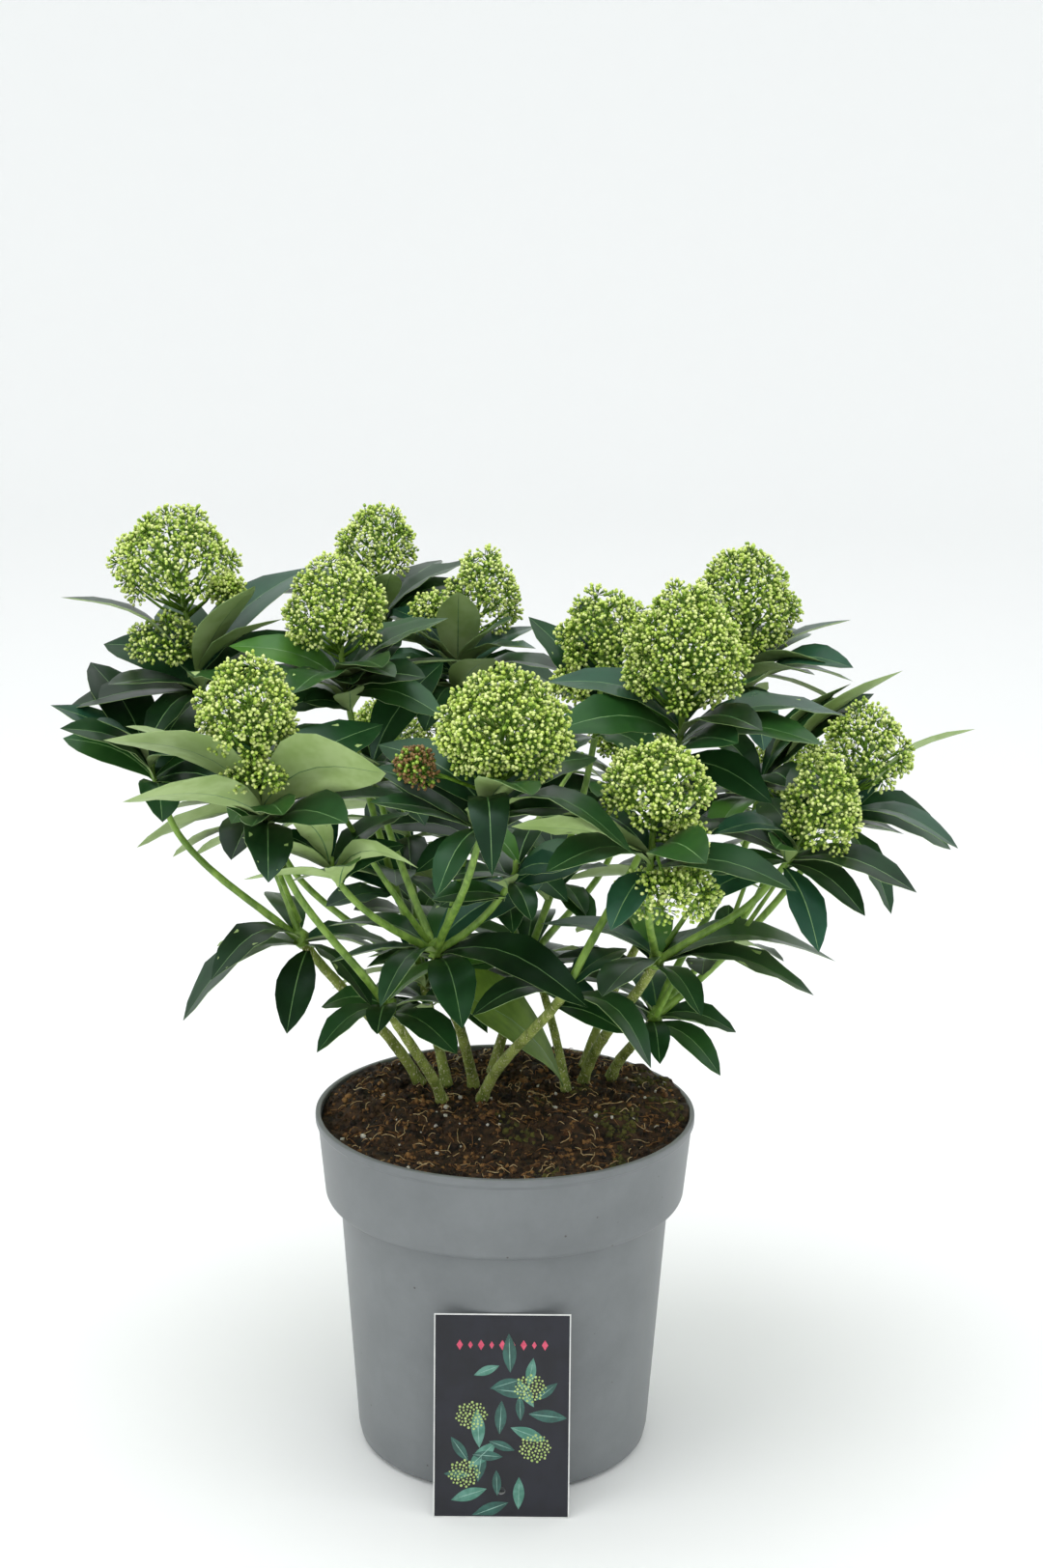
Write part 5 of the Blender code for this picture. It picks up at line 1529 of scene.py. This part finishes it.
# %% How a head grows
BUD_LENGTH = 0.0024
BUD_WIDTH = 0.0021
PEDICEL = 0.0042              # stalk of one bud
PEDICEL_RADIUS = 0.00042
TWIG_RADIUS = 0.0005
BRANCH_RADIUS = 0.0008
TUFT_SPACING = 0.0118         # between neighbouring tufts
TUFT_RADIUS = 0.0094          # from the middle of a tuft to its outermost buds
TUFT_SPREAD = 80.0            # how far its umbels lean out, in degrees
UMBELS = 6                    # umbels in a tuft
BUDS = 6                      # buds in an umbel
UMBEL_SPREAD = 72.0
BUDS_KEPT = 0.94
TUFT_SHIFT = 0.0016           # random rise and fall of a tuft
DOME_DEPTH = 1.86             # from the dome's top to its lower edge, in half heights of the head
WIDEST = 0.74                 # share of that depth where it is widest
FOOT_WIDTH = 0.72             # its width at the lower edge, over the widest
DOME_STEPS = 120
GOLDEN_TURN = math.pi * (3 - math.sqrt(5))


def cap_ways(count, lowest_angle, phase):
    """Even directions over a cap about +Z: equal steps in height, each turned by the golden angle."""
    lowest = math.cos(math.radians(lowest_angle))
    height = 1 - (1 - lowest) * (np.arange(count) + 0.5) / count
    angle = np.arange(count) * GOLDEN_TURN + phase
    flat = np.sqrt(np.maximum(1 - height ** 2, 0))
    return np.stack(np.broadcast_arrays(flat * np.cos(angle), flat * np.sin(angle), height), axis=-1)


def turned_to(local, axes):
    """Directions about +Z, (copies, n, 3), turned so that +Z becomes each copy's own axis."""
    side, other = square_frame(axes)
    return (local[..., :1] * side[:, None] + local[..., 1:2] * other[:, None]
            + local[..., 2:] * axes[:, None])


class HeadParts(NamedTuple):
    """Arrays of a head: branch and twig paths, pedicel ends, bud feet and bud ways."""
    branches: np.ndarray
    twigs: np.ndarray
    pedicels: np.ndarray
    bud_feet: np.ndarray
    bud_ways: np.ndarray


def dome_profile(u):
    """Radius and height of the dome, over the half sizes, at the depth share u.

    The radius is sin(π/2 · min(u / WIDEST, 1))^0.8, drawn in to FOOT_WIDTH below the widest place.
    """
    radius = np.sin(0.5 * math.pi * np.minimum(u / WIDEST, 1)) ** 0.8
    radius = radius * (1 - (1 - FOOT_WIDTH) * np.maximum(u - WIDEST, 0) / (1 - WIDEST))
    return radius, 1 - DOME_DEPTH * u


def grow_head(centre, half, stalk_foot, fullness, rng):
    """The three levels of one head, as arrays.

    Tufts lie evenly on the turned profile of dome_profile, scaled to the head's half sizes less
    the tuft's own radius. A tuft's branch leaves the axis lower down, by 0.75 of its distance.
    """
    inner = np.maximum(half - 0.8 * TUFT_RADIUS, 0.3 * half)
    radius, height = dome_profile(np.linspace(0, 1, DOME_STEPS))
    radius, height = radius * inner[0], height * inner[2]
    strip = np.hypot(np.diff(radius), np.diff(height)) * math.pi * (radius[1:] + radius[:-1])
    area = np.concatenate(([0.0], np.cumsum(strip)))
    tufts = max(int(fullness * area[-1] / TUFT_SPACING ** 2), 8)
    steps = np.arange(DOME_STEPS)
    place = np.interp((np.arange(tufts) + 0.5) / tufts, area / area[-1], steps)
    angle = np.arange(tufts) * GOLDEN_TURN + rng.uniform(0, 6.28) + rng.normal(0, 0.12, tufts)
    away = np.interp(place, steps, radius) * rng.uniform(0.84, 1.09, tufts)
    around = np.stack((np.cos(angle), np.sin(angle), 0 * angle), axis=-1)
    raised = np.interp(place, steps, height) + rng.normal(0, TUFT_SHIFT, tufts)
    tuft_middles = centre + away[:, None] * around + raised[:, None] * UP
    slope_out = -np.interp(place, steps, np.gradient(height))
    slope_up = np.interp(place, steps, np.gradient(radius))
    ways = unit(slope_out[:, None] * around + (slope_up[:, None] + 1e-9) * UP)
    away = np.linalg.norm((tuft_middles - centre)[:, :2], axis=1, keepdims=True)
    low, high = stalk_foot[2] + 0.2 * (centre[2] - stalk_foot[2]), centre[2] + 0.5 * half[2]
    leave = np.clip(tuft_middles[:, 2:] - 0.75 * away, low, high)
    rise = (leave - stalk_foot[2]) / max(centre[2] - stalk_foot[2], 0.004)
    axis_points = np.column_stack((mix(stalk_foot[:2], centre[:2], np.clip(rise, 0, 1)), leave))
    elbows = mix(axis_points, tuft_middles, 0.55) - 0.10 * away * UP
    branches = np.stack((axis_points, elbows, tuft_middles), axis=1)

    outward = unit(mix(ways, unit(tuft_middles - axis_points), 0.35))
    phases = rng.uniform(0, 6.28, (tufts, 1))
    twig_ways = turned_to(cap_ways(UMBELS, TUFT_SPREAD, phases), outward)
    size = rng.uniform(0.82, 1.1, (tufts, 1, 1))
    nodes = tuft_middles[:, None] + twig_ways * (TUFT_RADIUS - PEDICEL - BUD_LENGTH) * size
    twigs = np.stack((np.broadcast_to(tuft_middles[:, None], nodes.shape), nodes), axis=2).reshape(-1, 2, 3)

    nodes, umbel_ways = nodes.reshape(-1, 3), twig_ways.reshape(-1, 3)
    bud_ways = turned_to(cap_ways(BUDS, UMBEL_SPREAD, rng.uniform(0, 6.28, (len(nodes), 1))), umbel_ways)
    bud_ways = unit(bud_ways + rng.normal(0, 0.12, bud_ways.shape))
    reach = PEDICEL * rng.uniform(0.75, 1.3, (len(nodes), BUDS))[..., None]
    feet = nodes[:, None] + bud_ways * reach
    kept = rng.random((len(nodes), BUDS)) < BUDS_KEPT
    pedicels = np.stack((np.broadcast_to(nodes[:, None], feet.shape), feet + bud_ways * 0.0003), axis=2)
    return HeadParts(branches, twigs, pedicels[kept], feet[kept], bud_ways[kept])


def needles(starts, ends, radius):
    """Closed needles of six faces, (copies, 5, 3), that thicken toward the bud.

    A ring of three points lies at 0.85 of the way, and a pole at each end.
    """
    side, other = square_frame(unit(ends - starts))
    angles = np.arange(3)[:, None] * 2 * math.pi / 3
    around = np.cos(angles) * side[:, None] + np.sin(angles) * other[:, None]
    ring = mix(starts, ends, 0.85)[:, None] + radius * around
    return np.concatenate((ring, starts[:, None], ends[:, None]), axis=1)


print("height where the dome is widest, over the half height:", round(float(dome_profile(WIDEST)[1]), 2))

# %% [markdown]
# The heads are grown in the order of their sprays and joined into a few pieces, so that none has
# too many faces. Some heads are a little wider, lower or more open than their solids, as the real
# buds stand looser than a closed body can show. One small head has withered to brown.

# %% The heads
FULLNESS = {"spray_left_high": 0.80, "spray_far_right": 0.80}      # tufts over the usual number
# Shift along X and Z in mm, then width and height over the solid's.
HEAD_FITS = {("spray_left_high", 0): (0, 3, 1.00, 1.12),
             ("spray_left_front", 0): (0, 0, 0.94, 1.02),
             ("spray_left_middle", 0): (0, 0, 0.94, 1.00),
             ("spray_centre_front", 0): (0, 0, 0.88, 0.98),
             ("spray_right_tall", 0): (0, 0, 0.96, 1.00),
             ("spray_right_front", 0): (0, -1, 0.95, 1.00),
             ("spray_right_front", 2): (0, -1, 1.30, 1.40),
             ("spray_right_low", 0): (0, -2, 0.88, 1.00),
             ("spray_far_right", 0): (-3, 0, 0.90, 1.00),
             ("spray_right_back", 0): (-4, -4, 1.06, 1.00)}
WITHERED = {("spray_centre_front", 1)}
BUD_CHANCES = (0.50, 0.32, 0.18, 0.0)                   # pale, yellow, green and brown buds
WITHERED_CHANCES = (0.0, 0.04, 0.16, 0.80)
HEAD_AXIS_RADII = np.array(((0.0016, 0.0013, 0.0008),))
SIDE_AXIS_SHARE = 0.7                                   # radius of a side head's stalk over that
MOST_STALK_POINTS = 72000                               # a pile past this isn't filled further
MOST_BUD_POINTS = 90000


def open_pile(piles, most):
    """The last pile, or a new one behind it where that holds more points than allowed."""
    if piles[-1].total > most:
        piles.append(Pile())
    return piles[-1]


head_rng = np.random.default_rng(41)
bud_piles = [Pile()]
stalk_piles = [Pile()]
bud_count = 0
for name, spray in SPRAYS.items():
    place = np.array(spray.place)
    for i, (x, y, z, width, height) in enumerate(spray.heads):
        sideways, upward, wider, higher = HEAD_FITS.get((name, i), (0, 0, 1.0, 1.0))
        centre = place + MM * np.array((x + sideways, y, z + upward))
        half = MM * np.array((width * wider, width * wider, height * higher)) / 2
        foot = place if i == 0 else mix(place, spray_top(spray), 0.25)
        head = grow_head(centre, half, foot, FULLNESS.get(name, 1.0), head_rng)
        axis = np.stack((foot, mix(foot, centre, 0.9), centre + 0.5 * half * UP))[None]
        pile = open_pile(stalk_piles, MOST_STALK_POINTS)
        pile.add_rods(axis, HEAD_AXIS_RADII * (SIDE_AXIS_SHARE if i else 1.0), 6)
        pile.add_rods(head.branches, BRANCH_RADIUS, 4)
        pile.add_rods(head.twigs, TWIG_RADIUS, 3)
        pile.add(needles(head.pedicels[:, 0], head.pedicels[:, 1], PEDICEL_RADIUS), 1, 3)
        count = len(head.bud_feet)
        size = head_rng.uniform(0.82, 1.12, count)
        chances = WITHERED_CHANCES if (name, i) in WITHERED else BUD_CHANCES
        buds = lumps(head.bud_feet, head.bud_ways, BUD_LENGTH * size, BUD_WIDTH * size, head_rng)
        slots = head_rng.choice(len(chances), (count, 1), p=chances)
        open_pile(bud_piles, MOST_BUD_POINTS).add_lumps(buds, slots)
        bud_count += count
print("buds:", bud_count)

# Waxy closed buds, from cream to green, and the withered brown ones; the stalks are plain green.
BUD_FINISHES = [mottled("bud_" + name, dark, pale, 2, 0.42, ior=1.45)
                for name, dark, pale in (("pale", "c9df74", "eaf4a6"), ("yellow", "acc84a", "d0e474"),
                                         ("green", "7da02e", "a2c34c"), ("brown", "6b4e28", "967646"))]
PEDICEL_FINISH = mottled("green_pedicel", "4a6e12", "6c9526", 4, 0.5)
for i, pile in enumerate(bud_piles):
    buds = pile.piece(f"flower_buds_{i}", BUD_FINISHES)
    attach(buds, "root")
for i, pile in enumerate(stalk_piles):
    stalks = pile.piece(f"head_stalks_{i}", [PEDICEL_FINISH])
    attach(stalks, "root")

# %% [markdown]
# The card at the front is coated board, dark blue with a thin white edge, and has a punched hole
# near its foot. It stands on the ground and leans on the pot, so one function turns a place on the
# card into a place in the scene. The blue face is a second plate, 0.06 mm before the board's.

# %% Card
LABEL_WIDTH = 0.077
LABEL_HEIGHT = 0.119
LABEL_THICK = 0.0007
LABEL_FOOT_Y = 0.1105
LABEL_HOLE_RADIUS = 0.00225
LABEL_HOLE_HEIGHT = 0.016
LABEL_BORDER = 0.0007
INK_DEPTH = 0.00006

wall_radius = float(np.interp(LABEL_HEIGHT, (POT_BODY_LOW[1], POT_BODY_TOP[1]),
                              (POT_BODY_LOW[0], POT_BODY_TOP[0])))
LABEL_LEAN = math.asin((LABEL_FOOT_Y - wall_radius - CLEAR) / LABEL_HEIGHT)


def on_card(x, up, back):
    """Card coordinates as a place: across, up the card, and behind its back face."""
    y = -LABEL_FOOT_Y + up * math.sin(LABEL_LEAN) + back * math.cos(LABEL_LEAN)
    z = LABEL_THICK * math.sin(LABEL_LEAN) + up * math.cos(LABEL_LEAN) - back * math.sin(LABEL_LEAN)
    return np.stack(np.broadcast_arrays(x, y, z), axis=-1)


def card_plate(x, up, front, back):
    """A thin plate with the outline (x, up) between two depths, as one rod of two rings."""
    outline = np.stack((on_card(x, up, front), on_card(x, up, back)))
    poles = on_card(np.array((x.mean(),) * 2), np.array((up.mean(),) * 2), np.array((front, back)))
    return np.vstack((outline.reshape(-1, 3), poles))[None]


half = LABEL_WIDTH / 2
plate_x, plate_up = np.array((-half, half, half, -half)), np.array((0, 0, LABEL_HEIGHT, LABEL_HEIGHT))
inset_x = plate_x * (1 - LABEL_BORDER / half)
inset_up = np.where(plate_up > 0, LABEL_HEIGHT - LABEL_BORDER, LABEL_BORDER)
PUNCH_SIDES = 24
punch_angles = np.arange(PUNCH_SIDES) * 2 * math.pi / PUNCH_SIDES
punch_x = LABEL_HOLE_RADIUS * np.cos(punch_angles)
punch_up = LABEL_HOLE_HEIGHT + LABEL_HOLE_RADIUS * np.sin(punch_angles)


def punched_plate(name, x, up, front, back, finish):
    """A plate of the card with its hole cut out."""
    pile = Pile()
    pile.add(card_plate(x, up, front, back), 2, len(x))
    plate = pile.piece(name, [finish], 30)
    punch = Pile()
    punch.add(card_plate(punch_x, punch_up, -0.003, 0.003), 2, PUNCH_SIDES)
    cut_holes(plate, punch.piece("card_punch", []))
    plate.data.polygons.foreach_set("use_smooth", np.zeros(len(plate.data.polygons), bool))
    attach(plate, "root")
    return plate


card = punched_plate("card_board", plate_x, plate_up, -LABEL_THICK, 0.0,
                     mottled("white_board_edge", "d3d5d3", "e4e5e2", 8, 0.5))
punched_plate("card_face", inset_x, inset_up, -LABEL_THICK - INK_DEPTH, -LABEL_THICK + INK_DEPTH,
              mottled("navy_coated_print", "15161d", "1c1d27", 20, 0.34))
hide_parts("plant_label")

# %% [markdown]
# The print is a plain design of leaves and dots in the plant's colours: a winding garland, four
# dotted tufts and a row of lozenges. It could be a picture on the card, but thin shapes that lie
# on it stay sharp at any distance. Later shapes lie up to 0.16 mm higher than the first.

# %% Print on the card
print_pile = Pile()
INK_LEAF, INK_LIGHT_LEAF, INK_BUD, INK_STALK, INK_ROSE = range(5)
GARLAND_LEAVES = 22
LEAF_TURN = 0.95                                                # of a leaf from the garland, radians
PRINT_MARGIN = 1.5                                              # mm
GARLAND_TUFTS = ((-21, 26), (19, 41), (-17, 60), (16, 76))      # middles of the dotted tufts, mm
TUFT_DOTS = 60
ROSE_ROW = 101                                                  # height of the row of lozenges, mm


def garland(t):
    """Middle line of the printed garland, mm: a wave of 19 mm that climbs the card, t from 0 to 1."""
    return 19 * np.sin(2.2 * math.pi * t + 2.6), 5 + 84 * t


def inked(outline_x, outline_up, slot, layer):
    """Adds one printed shape, in mm on the card. Higher layers lie on lower ones."""
    limit = LABEL_WIDTH / 2 / MM - PRINT_MARGIN
    depth = INK_DEPTH * (1 + 0.5 * layer)
    print_pile.add(card_plate(MM * np.clip(outline_x, -limit, limit),
                              MM * np.clip(outline_up, PRINT_MARGIN, LABEL_HEIGHT / MM - PRINT_MARGIN),
                              -LABEL_THICK - INK_DEPTH - depth, -LABEL_THICK), 2, len(outline_x), slot)


def pointed_oval(x, up, turn, size, width):
    """Outline of a leaf that starts at (x, up): half width is width · sin(π t)."""
    t = np.linspace(0, 1, 9)
    half_width = width * np.sin(math.pi * t)
    along_leaf, across = np.concatenate((t, t[-2:0:-1])), np.concatenate((half_width, -half_width[-2:0:-1]))
    c, s = math.cos(turn), math.sin(turn)
    return x + size * (c * along_leaf - s * across), up + size * (s * along_leaf + c * across)


for i, t in enumerate(np.linspace(0.0, 1.0, GARLAND_LEAVES)):
    x, up = garland(t)
    next_x, next_up = garland(t + 0.01)
    turn = math.atan2(next_up - up, next_x - x) + (LEAF_TURN if i % 2 else -LEAF_TURN)
    size = 19 + 4 * math.sin(2.3 * i)
    inked(*pointed_oval(x, up, turn, size, 0.17), INK_LEAF if i % 3 else INK_LIGHT_LEAF, 0.1 * i)
    inked(*pointed_oval(x, up, turn, size - 2, 0.012), INK_STALK, 2.6 + 0.1 * i)
dot_turns = np.arange(10) * 2 * math.pi / 10
for x, up in GARLAND_TUFTS:
    for k in range(TUFT_DOTS):
        reach, turn = 9.0 * math.sqrt((k + 0.5) / TUFT_DOTS), k * GOLDEN_TURN
        dot = 0.62 + 0.15 * math.sin(1.7 * k)
        inked(x + reach * math.cos(turn) + dot * np.cos(dot_turns),
              up + 0.9 * reach * math.sin(turn) + dot * np.sin(dot_turns), INK_BUD, 5.2)
for x in np.arange(-24, 25, 6):
    size = 2.2 if x % 12 else 3.0
    inked(x + size * np.array((-0.6, 0, 0.6, 0)), ROSE_ROW + size * np.array((0, -1, 0, 1)), INK_ROSE, 0)
# Offset inks under a clear coat, in the order of the ink numbers.
card_print = print_pile.piece("card_print", [
    mottled("green_print_ink", "1f4a42", "2c5f55", 6, 0.3, coat=0.3),
    mottled("light_green_print_ink", "3c7563", "5b8f80", 6, 0.3, coat=0.3),
    mottled("bud_print_ink", "93ad5c", "b9cd7f", 3, 0.3, coat=0.3),
    mottled("stalk_print_ink", "6f9a8c", "8db3a5", 3, 0.3, coat=0.3),
    mottled("rose_print_ink", "c23a5a", "d2506c", 3, 0.3, coat=0.3)], 30)
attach(card_print, "root")

# %% [markdown]
# The plant stands on a plain white table under soft daylight. One large floor takes the shadow,
# the sky gives even light from all sides, and three wide lamps, above, on the left and on the
# right, give the leaves their long soft highlights.

# %% Floor and light
FLOOR_RADIUS = 3.4
SWEEP_RADIUS = 1.3
BACKDROP_HEIGHT = 3.0
BACKDROP_THICK = 0.03
BACKDROP_SIDES = 96


def backdrop():
    """A round white table that sweeps up into a wall all round, so no view shows a horizon."""
    t = np.linspace(0, math.pi / 2, 16)
    sweep = np.column_stack((FLOOR_RADIUS + SWEEP_RADIUS * np.sin(t), SWEEP_RADIUS * (1 - np.cos(t))))
    top = np.array([(FLOOR_RADIUS + SWEEP_RADIUS, BACKDROP_HEIGHT)])
    inner = np.vstack(([(0.0, 0.0), (0.6, 0.0), (1.6, 0.0)], sweep, top))
    outer = inner[::-1] + np.array((BACKDROP_THICK, -BACKDROP_THICK))
    outer[0, 1] = BACKDROP_HEIGHT
    outer[-1, 0] = 0.0
    profile = np.vstack((inner, outer))
    pile = Pile()
    pile.add(turned(profile, BACKDROP_SIDES), len(profile) - 2, BACKDROP_SIDES)
    board = new_material("matt_white_board", 0.8)[0]
    board.node_tree.nodes["Principled BSDF"].inputs["Base Color"].default_value = linear_colour("f3f5f5")
    return pile.piece("white_backdrop", [board], 60)


backdrop()

sky = bpy.data.worlds.new("soft_daylight")
bpy.context.scene.world = sky
sky.use_nodes = True
sky_light = sky.node_tree.nodes["Background"]
sky_light.inputs["Color"].default_value = linear_colour("f8f8f8")
sky_light.inputs["Strength"].default_value = 1.07


def lamp(name, place, target, size, watts):
    """A square soft lamp that faces its target."""
    data = bpy.data.lights.new(name, "AREA")
    data.shape = "SQUARE"
    data.size = size
    data.energy = watts
    made = bpy.data.objects.new(name, data)
    way = unit(np.array(target) - np.array(place))
    side, other = square_frame(way)
    rows = np.column_stack((side, -other, -way))
    made.matrix_world = Matrix.Translation(place) @ Matrix(rows.tolist()).to_4x4()
    bpy.context.scene.collection.objects.link(made)


lamp("top_softbox", (-0.2, -0.3, 2.4), (0, 0, 0.35), 1.6, 22)
lamp("left_softbox", (-2.0, -1.4, 1.5), (0, 0, 0.35), 1.5, 10)
lamp("right_softbox", (2.2, -1.2, 1.0), (0, 0, 0.2), 1.5, 6)
